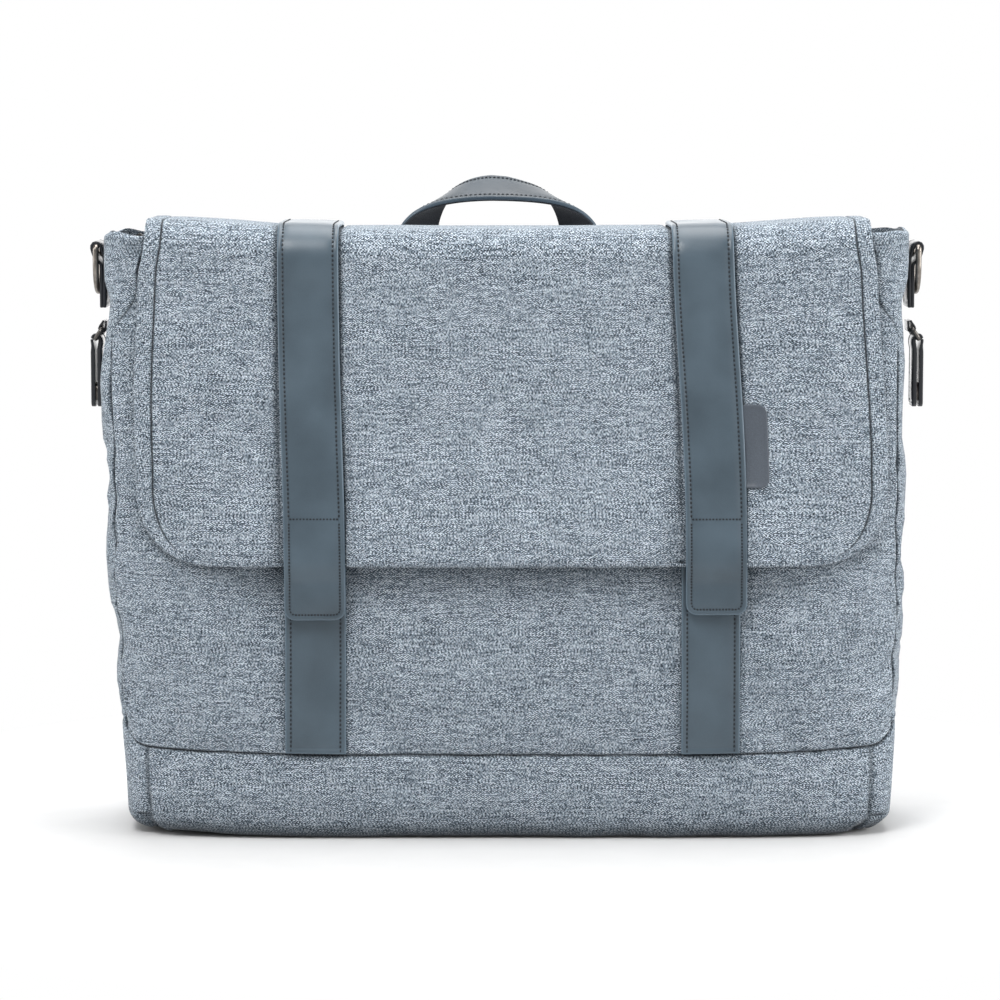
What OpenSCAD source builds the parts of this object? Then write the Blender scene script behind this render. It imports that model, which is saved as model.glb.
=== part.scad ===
// Messenger-style diaper bag: fabric body, zipped top, flap with two snap-down straps,
// carry handle, shoulder-strap rings and stroller hangers.
// Millimetres. Origin: centre of the underside of the base. +Z up, the flap hangs on the -Y side.
//
// Every soft sheet is drawn on one of two surfaces, between two depths measured along the normal:
//   fold(x, s)  the front wall, the top and the back wall; s is the distance from the top's centre
//               line, negative to the front
//   wall(u, z)  any point round the body at height z; u is a point of the unit plan outline

/* [Body] */
// Overall width across the gussets
body_w = 428; // [418:2:438]
// Width across the base
base_w = 406; // [396:2:414]
// Depth at the base
base_d = 124; // [112:2:136]
// Depth at the top of the walls
top_d = 80; // [76:2:88]
// Height of the front and back walls
wall_h = 317; // [307:1:325]
// Height of the base band
band_h = 45; // [36:1:52]
// How far the front and back walls belly out
belly = 5; // [2:1:8]
// Thickness of the padded outer fabric
shell_t = 2.5; // [1.5:0.1:2.6]

/* [Flap] */
// Width of the flap
flap_w = 388; // [376:2:392]
// Height of the flap's lower edge above the base
flap_edge_h = 145; // [130:1:160]
// Radius of the flap's lower corners
flap_corner_r = 40; // [25:1:50]
// Width of the binding round the flap
binding_w = 9; // [6:0.5:12]

/* [Straps] */
// Width of the flap straps
strap_w = 32; // [24:1:34]
// Distance between the strap centres
strap_spacing = 208; // [190:2:224]
// Thickness of the straps
strap_t = 2.2; // [1.6:0.1:2.4]
// How far a strap tip hangs below the flap
tip_drop = 26; // [22:1:32]
// How far above the flap's edge a tip is stitched down
tip_stitch = 25; // [18:1:34]
// Radius of the snap discs
snap_r = 7.5; // [6:0.5:9]

/* [Handle] */
// Distance between the centres of the handle's legs
handle_spacing = 82; // [76:2:96]
// Sideways offset of the handle
handle_x = -4.5; // [-6:0.5:6]
// Width of the handle strap
handle_w = 28; // [22:1:30]
// Height of the middle of the grip above the base
grip_h = 341; // [338:1:346]

/* [Rings and hangers] */
// Inside width of the shoulder-strap rings
ring_w = 25; // [20:1:30]
// Height of the shoulder-strap rings between wire centres
ring_h = 24; // [20:1:27]
// Radius of the shoulder-strap ring's wire
ring_wire_r = 1.6; // [1.4:0.1:1.8]
// Inside width of the hanger rings
hanger_w = 20; // [16:1:24]
// Length of the stroller hanger straps
hanger_len = 37; // [32:1:44]

/* [Zip] */
// Half the length of the zip that opens
zip_half = 150; // [140:2:158]
// How far the zip pull reaches from its pin
pull_len = 13; // [10:1:13]

/* [Hidden] */
$fn = 48;

// Colours
fabric = [0.47, 0.52, 0.57];
leatherette = [0.33, 0.38, 0.42];
dark_cloth = [0.13, 0.14, 0.16];
metal = [0.55, 0.51, 0.46];

// Plan outline: a superellipse of this power, so walls are nearly flat and corners are soft
squareness = 6;
// Plan position of the side seams, as a share of the half width
seam_u = 0.95;
// Height at which the body reaches its full width
widest_h = 200;
// Radius of the rounded lower edge, and of the fold over the top edge
foot_r = 10;
shoulder_r = 12;
shoulder_z = wall_h - shoulder_r;
flat_half = top_d / 2 - shoulder_r;
arc_len = shoulder_r * PI / 2;
// How the walls lean in: above 1 they stay upright for longer
lean_power = 1.4;
// Clearance between parts that are sewn edge to edge
gap = 0.3;

// Depth of each layer, measured out from the body's surface
lining_in = -4;
lining_out = -3.3;
pocket_in = -7;
pocket_out = -6.2;
under_strap_out = 0.1 + strap_t;
flap_lining_in = under_strap_out + 0.3;
flap_in = flap_lining_in + 0.6;
flap_out = flap_in + 2.2;
strap_in = flap_out + 0.3;
strap_out = strap_in + strap_t;

// Positions along the fold
front_fold_s = -(flat_half + arc_len / 2);
back_fold_s = flat_half + 2;
anchor_end_s = flat_half + arc_len - 2;
tip_end_h = flap_edge_h - tip_drop;
tip_hinge_h = flap_edge_h + tip_stitch;
snap_h = tip_end_h + 12;
stud_nub_r = 2.2;
socket_t = 1.4;

gusset_h = wall_h - 7;
zip_z = wall_h - 6;
zip_t = 1.2;
chain_r = 1.1;
post_t = 0.9;
slider_x = -193;
pull_x = slider_x - 4;
pin_z = zip_z + 5.2;
pin_r = 0.8;

// Handle
handle_t = 2.2;
backing_t = 0.8;
end_low_z = wall_h - 45;
end_top_z = wall_h - 22;

// Side tabs and hangers, on the right-hand gusset
tab_x = body_w / 2 + 0.3;
tab_t = 1.6;
pin_gap = 0.1;
ring_z = wall_h - 6;
ring_x = tab_x + 2 * tab_t + ring_wire_r + 0.2;
hanger_wire_r = 1.25;
keeper_z = wall_h - 50;
keeper_x = tab_x + 1.2 + pin_gap + hanger_wire_r;
// The hanger ring stands off the gusset at this angle from straight down
hanger_tilt = 34;
hanger_ring_h = 6;
leaf_t = 1.5;
hanger_snap_r = 5;
// The hanger ring's outer bar, which the hanger strap is looped over
bar_x = keeper_x + hanger_ring_h * sin(hanger_tilt);
bar_z = keeper_z - hanger_ring_h * cos(hanger_tilt);
loop_r = hanger_wire_r + pin_gap + leaf_t;
leaf_x = bar_x + loop_r - leaf_t;
leaf_low_z = bar_z - hanger_len;

function lerp(a, b, t) = a + (b - a) * t;
function unit(v) = v / norm(v);
function power(v, p) = sign(v) * pow(abs(v), p);
// The other coordinate of the unit plan outline
function plan_fill(u) = pow(max(0, 1 - pow(abs(u), squareness)), 1 / squareness);
// How far the rounded lower edge pulls the walls in at height z
function foot(z) = z >= foot_r ? 0 : foot_r - sqrt(pow(foot_r, 2) - pow(foot_r - z, 2));
function half_width(z) =
    base_w / 2 + (body_w - base_w) / 2 * sin(90 * min(1, z / widest_h)) - foot(z);
function half_depth(z) =
    lerp(base_d / 2, top_d / 2, pow(z / shoulder_z, lean_power))
    + belly * sin(180 * z / shoulder_z) - foot(z);

// Distance along the fold of a point at height z on a wall
function wall_s(z) = flat_half + arc_len + shoulder_z - z;
function fold_angle(d) = (d - flat_half) / shoulder_r * 180 / PI;
function fold_z(d) =
    d <= flat_half ? wall_h
    : d < flat_half + arc_len ? shoulder_z + shoulder_r * cos(fold_angle(d))
    : shoulder_z - (d - flat_half - arc_len);
function fold_y(d) =
    d <= flat_half ? d
    : d < flat_half + arc_len ? flat_half + shoulder_r * sin(fold_angle(d))
    : half_depth(fold_z(d));
function fold(x, s) =
    let (z = fold_z(abs(s))) [x, sign(s) * fold_y(abs(s)) * plan_fill(x / half_width(z)), z];
step = 0.05;
function fold_normal(x, s) =
    unit(cross(fold(x + step, s) - fold(x - step, s), fold(x, s + step) - fold(x, s - step)));
function fold_at(x, s, depth) = fold(x, s) + depth * fold_normal(x, s);

function wall(u, z) = [u[0] * half_width(z), u[1] * half_depth(z), z];
function wall_normal(u, z) =
    let (gx = power(u[0], squareness - 1) / half_width(z),
         gy = power(u[1], squareness - 1) / half_depth(z))
    unit(cross([-gy, gx, 0], wall(u, z + step) - wall(u, z - step)));
function wall_at(u, z, depth) = wall(u, z) + depth * wall_normal(u, z);

// Values from -limit to limit, closer together towards the ends
function spread(n, limit) = [for (i = [-n:n]) limit * sin(90 * i / n)];
function ramp(n, a, b) = [for (i = [0:n]) lerp(a, b, i / n)];
function reverse(list) = [for (i = [len(list) - 1:-1:0]) list[i]];
// Stations along the fold: every sheet shares them, so stacked sheets bend at the same lines
stations = let (bends = concat([for (z = [0:28:shoulder_z]) wall_s(z)],
                               [for (i = [6:-1:0]) flat_half + arc_len * i / 6],
                               [flat_half / 2]))
    concat([for (d = bends) -d], [0], reverse(bends));
function between(a, b) = concat([a], [for (s = stations) if (s > a + 1 && s < b - 1) s], [b]);
plan_side = [for (v = spread(6, plan_fill(seam_u))) [plan_fill(v), v]];
plan_back = [for (u = reverse(spread(8, seam_u))) [u, plan_fill(u)]];
plan_ring = concat(plan_side, plan_back, [for (p = plan_side) -p], [for (p = plan_back) -p]);

// A closed sheet between two grids of points. Rows run along the sheet's second direction; with
// loop, each row closes on itself.
module slab(outer, inner, loop = false) {
    rows = len(outer);
    cols = len(outer[0]);
    last = loop ? cols - 1 : cols - 2;
    size = rows * cols;
    points = concat([for (row = outer) for (p = row) p], [for (row = inner) for (p = row) p]);
    function at(r, c) = r * cols + c % cols;
    function under(r, c) = size + at(r, c);
    skins = [for (r = [0:rows - 2]) for (c = [0:last]) each [
        [at(r, c), at(r + 1, c), at(r + 1, c + 1)],
        [at(r, c), at(r + 1, c + 1), at(r, c + 1)],
        [under(r, c), under(r + 1, c + 1), under(r + 1, c)],
        [under(r, c), under(r, c + 1), under(r + 1, c + 1)]]];
    ends = [for (c = [0:last]) each [
        [at(0, c), at(0, c + 1), under(0, c + 1)],
        [at(0, c), under(0, c + 1), under(0, c)],
        [at(rows - 1, c + 1), at(rows - 1, c), under(rows - 1, c)],
        [at(rows - 1, c + 1), under(rows - 1, c), under(rows - 1, c + 1)]]];
    sides = [for (r = [0:rows - 2]) each [
        [at(r + 1, 0), at(r, 0), under(r, 0)],
        [at(r + 1, 0), under(r, 0), under(r + 1, 0)],
        [at(r, cols - 1), at(r + 1, cols - 1), under(r + 1, cols - 1)],
        [at(r, cols - 1), under(r + 1, cols - 1), under(r, cols - 1)]]];
    polyhedron(points, loop ? concat(skins, ends) : concat(skins, ends, sides), convexity = 6);
}

// Sheet over a grid of [x, s] points, between two depths
module fold_sheet(grid, low, high)
    slab([for (row = grid) [for (p = row) fold_at(p[0], p[1], high)]],
         [for (row = grid) [for (p = row) fold_at(p[0], p[1], low)]]);

// Sheet round the body between two heights and two depths
module wall_sheet(plan, heights, low, high, loop = false)
    slab([for (z = heights) [for (u = plan) wall_at(u, z, high)]],
         [for (z = heights) [for (u = plan) wall_at(u, z, low)]], loop);

// Places its children on the fold with +Z along the outward normal
module on_fold(x, s, depth) {
    n = fold_normal(x, s);
    translate(fold_at(x, s, depth)) rotate([0, acos(n[2]), atan2(n[1], n[0])]) children();
}

module flat_outline(half_x, half_y, t)
    linear_extrude(t) polygon([for (p = plan_ring) [p[0] * half_x, p[1] * half_y]]);

// Builds on the right-hand side, or mirrored on the left
module side(k) if (k > 0) children(); else mirror([1, 0, 0]) children();

// ---- body ----

module wall_panel(k) {
    columns = spread(8, seam_u - 2 * gap / body_w);
    path = between(-wall_s(band_h + gap), -(flat_half + arc_len * 0.15));
    rows = k < 0 ? path : [for (s = reverse(path)) -s];
    color(fabric) fold_sheet([for (s = rows) [for (u = columns) [u * half_width(fold_z(abs(s))), s]]],
                             -shell_t, 0);
}

module gusset(k) {
    limit = plan_fill(seam_u) - 2 * gap / top_d;
    plan = [for (v = spread(6, limit)) [plan_fill(v) * k, v * k]];
    color(fabric) wall_sheet(plan, ramp(9, band_h + gap, gusset_h), -shell_t, 0);
}

module base_band()
    color(fabric) wall_sheet(plan_ring, [0.6, 3, 6, foot_r, 24, band_h], -shell_t, 0, true);

module base_panel()
    color(fabric) flat_outline(base_w / 2 - foot_r + 2, base_d / 2 - foot_r + 2, shell_t);

module base_board()
    color(dark_cloth) translate([0, 0, shell_t + 0.7])
        flat_outline(base_w / 2 - foot_r - 3, base_d / 2 - foot_r - 2, 3);

module lining() color([0.42, 0.44, 0.47]) {
    wall_sheet(plan_ring, ramp(8, 7.4, shoulder_z - 1), lining_in, lining_out, true);
    translate([0, 0, 6.5]) flat_outline(base_w / 2 - 6, base_d / 2 - 6, 0.7);
}

module pocket(k) color([0.36, 0.38, 0.42])
    fold_sheet([for (z = k < 0 ? [30, 80, 130, 168] : [168, 130, 80, 30])
        [for (x = ramp(8, -150, 150)) [x, k * wall_s(z)]]], pocket_in, pocket_out);

module pocket_elastic() color(dark_cloth) for (k = [-1, 1])
    fold_sheet([for (z = k < 0 ? [168.3, 177] : [177, 168.3])
        [for (x = ramp(8, -150, 150)) [x, k * wall_s(z)]]], pocket_in - 0.4, pocket_out + 0.4);

// ---- zipped top ----

module zip_end(k) color(dark_cloth) side(k) {
    reach = k < 0 ? 211 : 188;
    narrow = k < 0 ? 21 : 27;
    translate([0, 0, zip_z]) linear_extrude(zip_t) difference() {
        polygon([[zip_half + 1, -31], [185, -27], [reach, -narrow],
                 [reach, narrow], [185, 27], [zip_half + 1, 31]]);
        translate([zip_half, -post_t / 2 - 0.2]) square([reach - zip_half - 5, post_t + 0.4]);
    }
}

module zip_strip(k) color(fabric)
    translate([-zip_half, k < 0 ? -33 : 9.2, zip_z]) cube([2 * zip_half, 23.8, zip_t]);

// One half of the zip: its tape and its bead of teeth
module zip_chain(k) color(dark_cloth) scale([1, k, 1]) {
    bead_y = post_t / 2 + 0.2 + chain_r;
    translate([-zip_half, bead_y, zip_z + 0.2]) cube([2 * zip_half, 9 - bead_y, 0.8]);
    translate([-zip_half, bead_y, zip_z + zip_t / 2]) rotate([0, 90, 0])
        cylinder(r = chain_r, h = 2 * zip_half);
}

// Two plates above and below the teeth, joined by a post between them, with lugs for the pull
module zip_slider() color(metal) translate([slider_x, 0, zip_z]) {
    translate([-5, -4, 2.2]) cube([10, 8, 1.1]);
    translate([-5, -4, -2.1]) cube([10, 8, 1.1]);
    translate([-1.5, -post_t / 2, -1.2]) cube([3, post_t, 3.6]);
    for (y = [-2.1, 1.1]) translate([pull_x - slider_x - 1, y, 3]) cube([2, 1, pin_z - zip_z - 2]);
    translate([pull_x - slider_x, 0, pin_z - zip_z]) rotate([90, 0, 0])
        cylinder(r = pin_r, h = 3, center = true);
}

module zip_pull() color(metal) translate([pull_x, 0, pin_z]) difference() {
    union() {
        rotate([90, 0, 0]) cylinder(r = 1.7, h = 2, center = true);
        translate([-4, -1, -0.6]) cube([3, 2, 1.2]);
        translate([-pull_len, -3, -0.6]) cube([pull_len - 3.5, 6, 1.2]);
    }
    rotate([90, 0, 0]) cylinder(r = pin_r + 0.08, h = 4, center = true);
}

// ---- flap ----

// Half width of the flap at distance d above its lower edge
function flap_half(d, half, r) = d >= r ? half : half - r + sqrt(pow(r, 2) - pow(r - d, 2));
panel_half = flap_w / 2 - binding_w - gap;
panel_r = flap_corner_r - binding_w;
panel_edge_s = -wall_s(flap_edge_h + binding_w + gap);

module flap_front_sheet(low, high) {
    curve = [for (a = [0:15:75]) panel_edge_s + panel_r * (1 - cos(a))];
    rows = concat(curve, between(panel_edge_s + panel_r, front_fold_s - gap / 2));
    fold_sheet([for (s = rows)
        [for (x = spread(8, flap_half(s - panel_edge_s, panel_half, panel_r))) [x, s]]], low, high);
}

module flap_front() color(fabric) flap_front_sheet(flap_in, flap_out);
module flap_front_lining() color([0.42, 0.44, 0.47]) flap_front_sheet(flap_lining_in, flap_in - 0.1);

// Outline of the flap's front, from its upper left corner round to its upper right one, drawn in
// by the given distance
function flap_outline(inset) =
    let (centre_x = flap_w / 2 - flap_corner_r,
         centre_s = flap_corner_r - wall_s(flap_edge_h),
         r = flap_corner_r - inset,
         half = flap_w / 2 - inset,
         side = reverse(between(centre_s, front_fold_s - gap / 2)),
         turn = [for (a = [75:-15:15]) [centre_x + r * sin(a), centre_s - r * cos(a)]])
    concat([for (s = side) [-half, s]],
           [for (p = turn) [-p[0], p[1]]],
           [for (u = spread(6, 1)) [u * centre_x, centre_s - r]],
           reverse(turn),
           [for (s = reverse(side)) [half, s]]);

module flap_front_binding() color(fabric * 0.92)
    fold_sheet([flap_outline(0), flap_outline(binding_w)], flap_lining_in - 0.1, flap_out + 0.1);

module flap_top_sheet(low, high)
    fold_sheet([for (s = between(front_fold_s + gap / 2, back_fold_s - gap / 2))
        [for (x = spread(8, panel_half)) [x, s]]], low, high);

module flap_top() color(fabric) flap_top_sheet(flap_in, flap_out);
module flap_top_lining() color([0.42, 0.44, 0.47]) flap_top_sheet(flap_lining_in, flap_in - 0.1);

module flap_top_binding() color(fabric * 0.92)
    for (x = [-flap_w / 2, flap_w / 2 - binding_w])
        fold_sheet([for (s = between(front_fold_s + gap / 2, back_fold_s - gap / 2))
            [[x, s], [x + binding_w, s]]], flap_lining_in - 0.1, flap_out + 0.1);

// The flap's sewn-down end, behind its hinge line
module flap_anchor() color(fabric)
    fold_sheet([for (s = between(back_fold_s + gap, anchor_end_s))
        [for (x = spread(8, flap_w / 2)) [x, s]]], flap_lining_in, flap_out);

// ---- straps ----

function strap_columns(k) = [for (i = [-1, 0, 1]) k * strap_spacing / 2 + i * strap_w / 2];

module strap(k, from_s, to_s, low, high) color(leatherette)
    fold_sheet([for (s = between(from_s, to_s)) [for (x = strap_columns(k)) [x, s]]], low, high);

module lower_strap(k) strap(k, -wall_s(band_h + 2 * gap), -wall_s(flap_edge_h + 46), 0.1, under_strap_out);
module strap_front(k)
    strap(k, -wall_s(tip_hinge_h + gap / 2), front_fold_s - gap / 2, strap_in, strap_out);
module strap_top(k)
    strap(k, front_fold_s + gap / 2, back_fold_s - gap / 2, strap_in, strap_out);
module strap_anchor(k) strap(k, back_fold_s + gap, anchor_end_s, strap_in, strap_out);

// The free end of a strap, with rounded corners
module strap_tip(k) {
    r = 6;
    end_s = -wall_s(tip_end_h);
    rows = concat([for (a = [0:22.5:67.5]) end_s + r * (1 - cos(a))],
                  ramp(4, end_s + r, -wall_s(tip_hinge_h - gap / 2)));
    color(leatherette) fold_sheet([for (s = rows)
        let (half = flap_half(s - end_s, strap_w / 2, r))
        [for (i = [-1, 0, 1]) [k * strap_spacing / 2 + i * half, s]]], strap_in, strap_out);
}

module snap_socket(k) color(metal)
    on_fold(k * strap_spacing / 2, -wall_s(snap_h), under_strap_out + 0.1) difference() {
        cylinder(r = snap_r, h = socket_t);
        translate([0, 0, -1]) cylinder(r = stud_nub_r + 0.4, h = socket_t + 2);
    }

module snap_stud(k) color(metal)
    on_fold(k * strap_spacing / 2, -wall_s(snap_h), under_strap_out + 0.3 + socket_t) {
        cylinder(r = snap_r, h = strap_in - under_strap_out - 0.4 - socket_t);
        translate([0, 0, -1]) cylinder(r = stud_nub_r, h = 1.2);
    }

module side_label() color([0.28, 0.28, 0.33]) {
    low_z = flap_edge_h + 42;
    label_h = 43;
    r = 5;
    x0 = strap_spacing / 2 + strap_w / 2 + gap;
    width = 13;
    rows = [for (a = [0:30:90]) r * (1 - cos(a))];
    heights = concat(rows, [for (d = reverse(rows)) label_h - d]);
    fold_sheet([for (d = heights)
        let (reach = flap_half(min(d, label_h - d), width, r))
        [for (x = [x0, x0 + reach / 2, x0 + reach]) [x, -wall_s(low_z + d)]]], strap_in, strap_in + 1);
}

// ---- handle ----

// Where the strap leaves the back wall
handle_y = half_depth(end_top_z) + 3.5;
foot_x = handle_spacing / 2;
foot_z = end_top_z + 0.5;
// The strap's two edges, each a curve from the left foot to the middle of the grip. The edge that is
// outermost at the foot is the front one at the grip, so the strap turns like a ribbon.
front_edge = [[-foot_x - handle_w / 2, handle_y, foot_z],
              [-foot_x - handle_w / 2 + 1, handle_y + 7, grip_h - 6],
              [-foot_x + 11, handle_y + 3, grip_h - 7.5],
              [0, handle_y + 3, grip_h - 7.5]];
back_edge = [[-foot_x + handle_w / 2, handle_y, foot_z],
             [-foot_x + 5, handle_y + 27, grip_h - 23],
             [-foot_x + 19, handle_y + 27, grip_h + 7.5],
             [0, handle_y + 27, grip_h + 7.5]];
function bezier(p, t) = pow(1 - t, 3) * p[0] + 3 * t * pow(1 - t, 2) * p[1]
    + 3 * pow(t, 2) * (1 - t) * p[2] + pow(t, 3) * p[3];
function middle(t) = (bezier(front_edge, t) + bezier(back_edge, t)) / 2;
function handle_point(t, k, edge, depth) =
    let (across = unit(bezier(back_edge, t) - bezier(front_edge, t)),
         along = t < 1 ? unit(middle(t + 0.01) - middle(t)) : [1, 0, 0],
         face = unit(cross(along, across)),
         p = middle(t) + edge * handle_w / 2 * across + depth * face)
    [handle_x + k * p[0], p[1], p[2]];
// The right half mirrors the left one, so its edges swap over
handle_rows = concat([for (i = [0:9]) [i / 10, 1]], [[1, 1]], [for (i = [9:-1:0]) [i / 10, -1]]);

module handle_sheet(low, high)
    slab([for (h = handle_rows) [for (e = [1, 0, -1]) handle_point(h[0], h[1], e, high)]],
         [for (h = handle_rows) [for (e = [1, 0, -1]) handle_point(h[0], h[1], e, low)]]);

module handle_strap() color(leatherette) handle_sheet(0, handle_t);
module handle_backing() color(dark_cloth) handle_sheet(-backing_t - 0.1, -0.1);

module handle_ends() color(leatherette) for (k = [-1, 1])
    fold_sheet([for (s = [wall_s(end_top_z), wall_s(end_low_z)])
        [for (i = [-1, 0, 1]) [handle_x + k * handle_spacing / 2 + i * handle_w / 2, s]]],
        0.1, 0.2 + handle_t + backing_t);

// ---- side rings and hangers, drawn on the right-hand side ----

// A loop of wire: a bar along Y, bent corners, legs down -Z and, with round, a half circle
module wire_loop(half, drop, r, round) {
    bend = 1.3 * r;
    rotate([90, 0, 0]) cylinder(r = r, h = 2 * (half - bend), center = true);
    for (k = [-1, 1]) scale([1, k, 1]) {
        translate([0, half - bend, -bend]) rotate([90, 0, 90]) rotate_extrude(angle = 90)
            translate([bend, 0]) circle(r);
        leg_end = round ? drop - half : drop - bend;
        translate([0, half, -leg_end]) cylinder(r = r, h = leg_end - bend);
        if (!round) translate([0, half - bend, bend - drop]) rotate([90, 0, 90])
            rotate_extrude(angle = -90) translate([bend, 0]) circle(r);
    }
    if (round) translate([0, 0, half - drop]) rotate([90, 0, 90])
        rotate_extrude(angle = -180) translate([half, 0]) circle(r);
    else translate([0, 0, -drop]) rotate([90, 0, 0])
        cylinder(r = r, h = 2 * (half - bend), center = true);
}

// A folded leather tab: a doubled tail on the gusset and a loop round a bar
module loop_tab(bar_x, bar_z, bar_r, t, width, tail_top, tail_low)
    translate([0, width / 2, 0]) rotate([90, 0, 0]) difference() {
        linear_extrude(width) union() {
            hull() {
                translate([bar_x, bar_z]) circle(bar_r + pin_gap + t);
                translate([tab_x, min(tail_top, bar_z) - 3]) square([2 * t, 3]);
            }
            translate([tab_x, tail_low]) square([2 * t, tail_top - tail_low]);
        }
        translate([bar_x, bar_z, -1]) cylinder(r = bar_r + pin_gap, h = width + 2);
    }

module ring_tab(k) color(leatherette) side(k)
    loop_tab(ring_x, ring_z, ring_wire_r, tab_t, ring_w - 0.6, ring_z - 8, wall_h - 39);

module d_ring(k) color(metal) side(k) translate([ring_x, 0, ring_z])
    wire_loop(ring_w / 2 + ring_wire_r, ring_h, ring_wire_r, true);

// The keeper's tail goes up from its loop, so the hanger ring hangs below it
module hanger_keeper(k) color(leatherette) side(k)
    translate([0, 0, 2 * keeper_z]) mirror([0, 0, 1])
    loop_tab(keeper_x, keeper_z, hanger_wire_r, 1.2, hanger_w - 4, keeper_z - 4, keeper_z - 10);

module hanger_ring(k) color(metal) side(k)
    translate([keeper_x, 0, keeper_z]) rotate([0, -hanger_tilt, 0])
    wire_loop(hanger_w / 2 + hanger_wire_r, hanger_ring_h, hanger_wire_r, false);

// Inner leaf of the stroller hanger, looped over the ring's outer bar
module hanger_strap(k) color(leatherette) side(k)
    translate([0, (hanger_w - 1) / 2, 0]) rotate([90, 0, 0]) difference() {
        linear_extrude(hanger_w - 1) union() {
            translate([bar_x, bar_z]) circle(loop_r);
            translate([bar_x - loop_r, leaf_low_z]) square([leaf_t, hanger_len]);
            translate([bar_x - loop_r, bar_z - 6]) square([2 * loop_r, 3.6]);
        }
        translate([bar_x, bar_z, -1]) cylinder(r = hanger_wire_r + pin_gap, h = hanger_w + 2);
    }

module hanger_leaf(k) color(leatherette) side(k)
    translate([leaf_x, -(hanger_w - 1) / 2, leaf_low_z])
        cube([leaf_t, hanger_w - 1, hanger_len - 6 - gap]);

// Button between the two leaves, on the outer one
module hanger_snap(k) color(metal) side(k)
    translate([bar_x - loop_r + leaf_t + 0.2, 0, leaf_low_z + 8]) rotate([0, 90, 0])
        cylinder(r = hanger_snap_r, h = 2 * (loop_r - leaf_t) - 0.3);

wall_panel(-1);  // front_panel
wall_panel(1);  // back_panel
gusset(-1);  // gusset_left
gusset(1);  // gusset_right
base_band();
base_panel();
base_board();
lining();
pocket(-1);  // pocket_front
pocket(1);  // pocket_back
pocket_elastic();
lower_strap(-1);  // lower_strap_left
lower_strap(1);  // lower_strap_right
snap_socket(-1);  // snap_socket_left
snap_socket(1);  // snap_socket_right
flap_anchor();
strap_anchor(-1);  // strap_anchor_left
strap_anchor(1);  // strap_anchor_right
handle_ends();
ring_tab(-1);  // ring_tab_left
ring_tab(1);  // ring_tab_right
hanger_keeper(-1);  // hanger_keeper_left
hanger_keeper(1);  // hanger_keeper_right
zip_end(-1);  // zip_end_left
zip_end(1);  // zip_end_right
handle_strap();
handle_backing();
flap_top();
flap_top_lining();
flap_top_binding();
strap_top(-1);  // strap_top_left
strap_top(1);  // strap_top_right
flap_front();
flap_front_lining();
flap_front_binding();
strap_front(-1);  // strap_front_left
strap_front(1);  // strap_front_right
side_label();
strap_tip(-1);  // strap_tip_left
snap_stud(-1);  // snap_stud_left
strap_tip(1);  // strap_tip_right
snap_stud(1);  // snap_stud_right
d_ring(-1);  // d_ring_left
d_ring(1);  // d_ring_right
hanger_ring(-1);  // hanger_ring_left
hanger_ring(1);  // hanger_ring_right
hanger_strap(-1);  // hanger_strap_left
hanger_strap(1);  // hanger_strap_right
hanger_leaf(-1);  // hanger_leaf_left
hanger_leaf(1);  // hanger_leaf_right
hanger_snap(-1);  // hanger_snap_left
hanger_snap(1);  // hanger_snap_right
zip_strip(-1);  // zip_strip_front
zip_chain(-1);  // zip_chain_front
zip_strip(1);  // zip_strip_back
zip_chain(1);  // zip_chain_back
zip_slider();
zip_pull();
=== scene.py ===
import math

import bpy
import numpy as np
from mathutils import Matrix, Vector


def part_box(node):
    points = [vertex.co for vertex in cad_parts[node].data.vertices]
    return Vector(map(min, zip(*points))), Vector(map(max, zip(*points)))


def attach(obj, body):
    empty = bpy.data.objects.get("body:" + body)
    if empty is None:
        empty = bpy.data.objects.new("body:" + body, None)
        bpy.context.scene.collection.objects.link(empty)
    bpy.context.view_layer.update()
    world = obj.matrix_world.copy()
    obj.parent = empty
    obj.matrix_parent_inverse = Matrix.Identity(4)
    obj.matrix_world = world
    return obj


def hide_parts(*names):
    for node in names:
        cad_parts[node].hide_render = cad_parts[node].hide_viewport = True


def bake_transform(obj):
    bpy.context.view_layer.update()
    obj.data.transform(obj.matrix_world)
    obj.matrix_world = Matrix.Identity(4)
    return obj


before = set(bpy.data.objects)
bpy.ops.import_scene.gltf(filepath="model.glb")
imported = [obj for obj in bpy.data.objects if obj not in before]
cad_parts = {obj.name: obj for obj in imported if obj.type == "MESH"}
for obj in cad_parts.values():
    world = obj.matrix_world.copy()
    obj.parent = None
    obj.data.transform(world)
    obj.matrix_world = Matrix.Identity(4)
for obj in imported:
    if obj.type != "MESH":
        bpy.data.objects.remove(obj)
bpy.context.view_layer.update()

# Everything below is worked out in millimetres, on the same surfaces as the CAD model, and turned
# into metres where a mesh is made. Front is -Y, +X is the viewer's right, z is the height.
MM = 1000.0


def node_box(name):
    lo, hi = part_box(name)
    return np.array(lo) * MM, np.array(hi) * MM


# ---- sizes ----

# The body: its plan outline's exponent, its rounded foot and top edges, and how its walls swell
SQUARENESS = 6
FOOT_R = 10
SHOULDER_R = 12
ARC = SHOULDER_R * math.pi / 2
BELLY = 5
LEAN = 1.4
WIDEST_Z = 200
# Side seams, as shares of the half width, from the foot up to the top
SEAM_LOW, SEAM_MID, SEAM_FOLD, SEAM_TOP = 0.984, 0.972, 0.914, 0.890
# Layers, as depths off the body's surface: inner and outer face
SHELL_T = 2.5
LINING_DEPTH = -3.3
UNDER_STRAP = (0.1, 2.3)
LINING_UNDER_FLAP = 2.6
FLAP = (3.2, 5.4)
STRAP = (5.7, 7.9)

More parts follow.
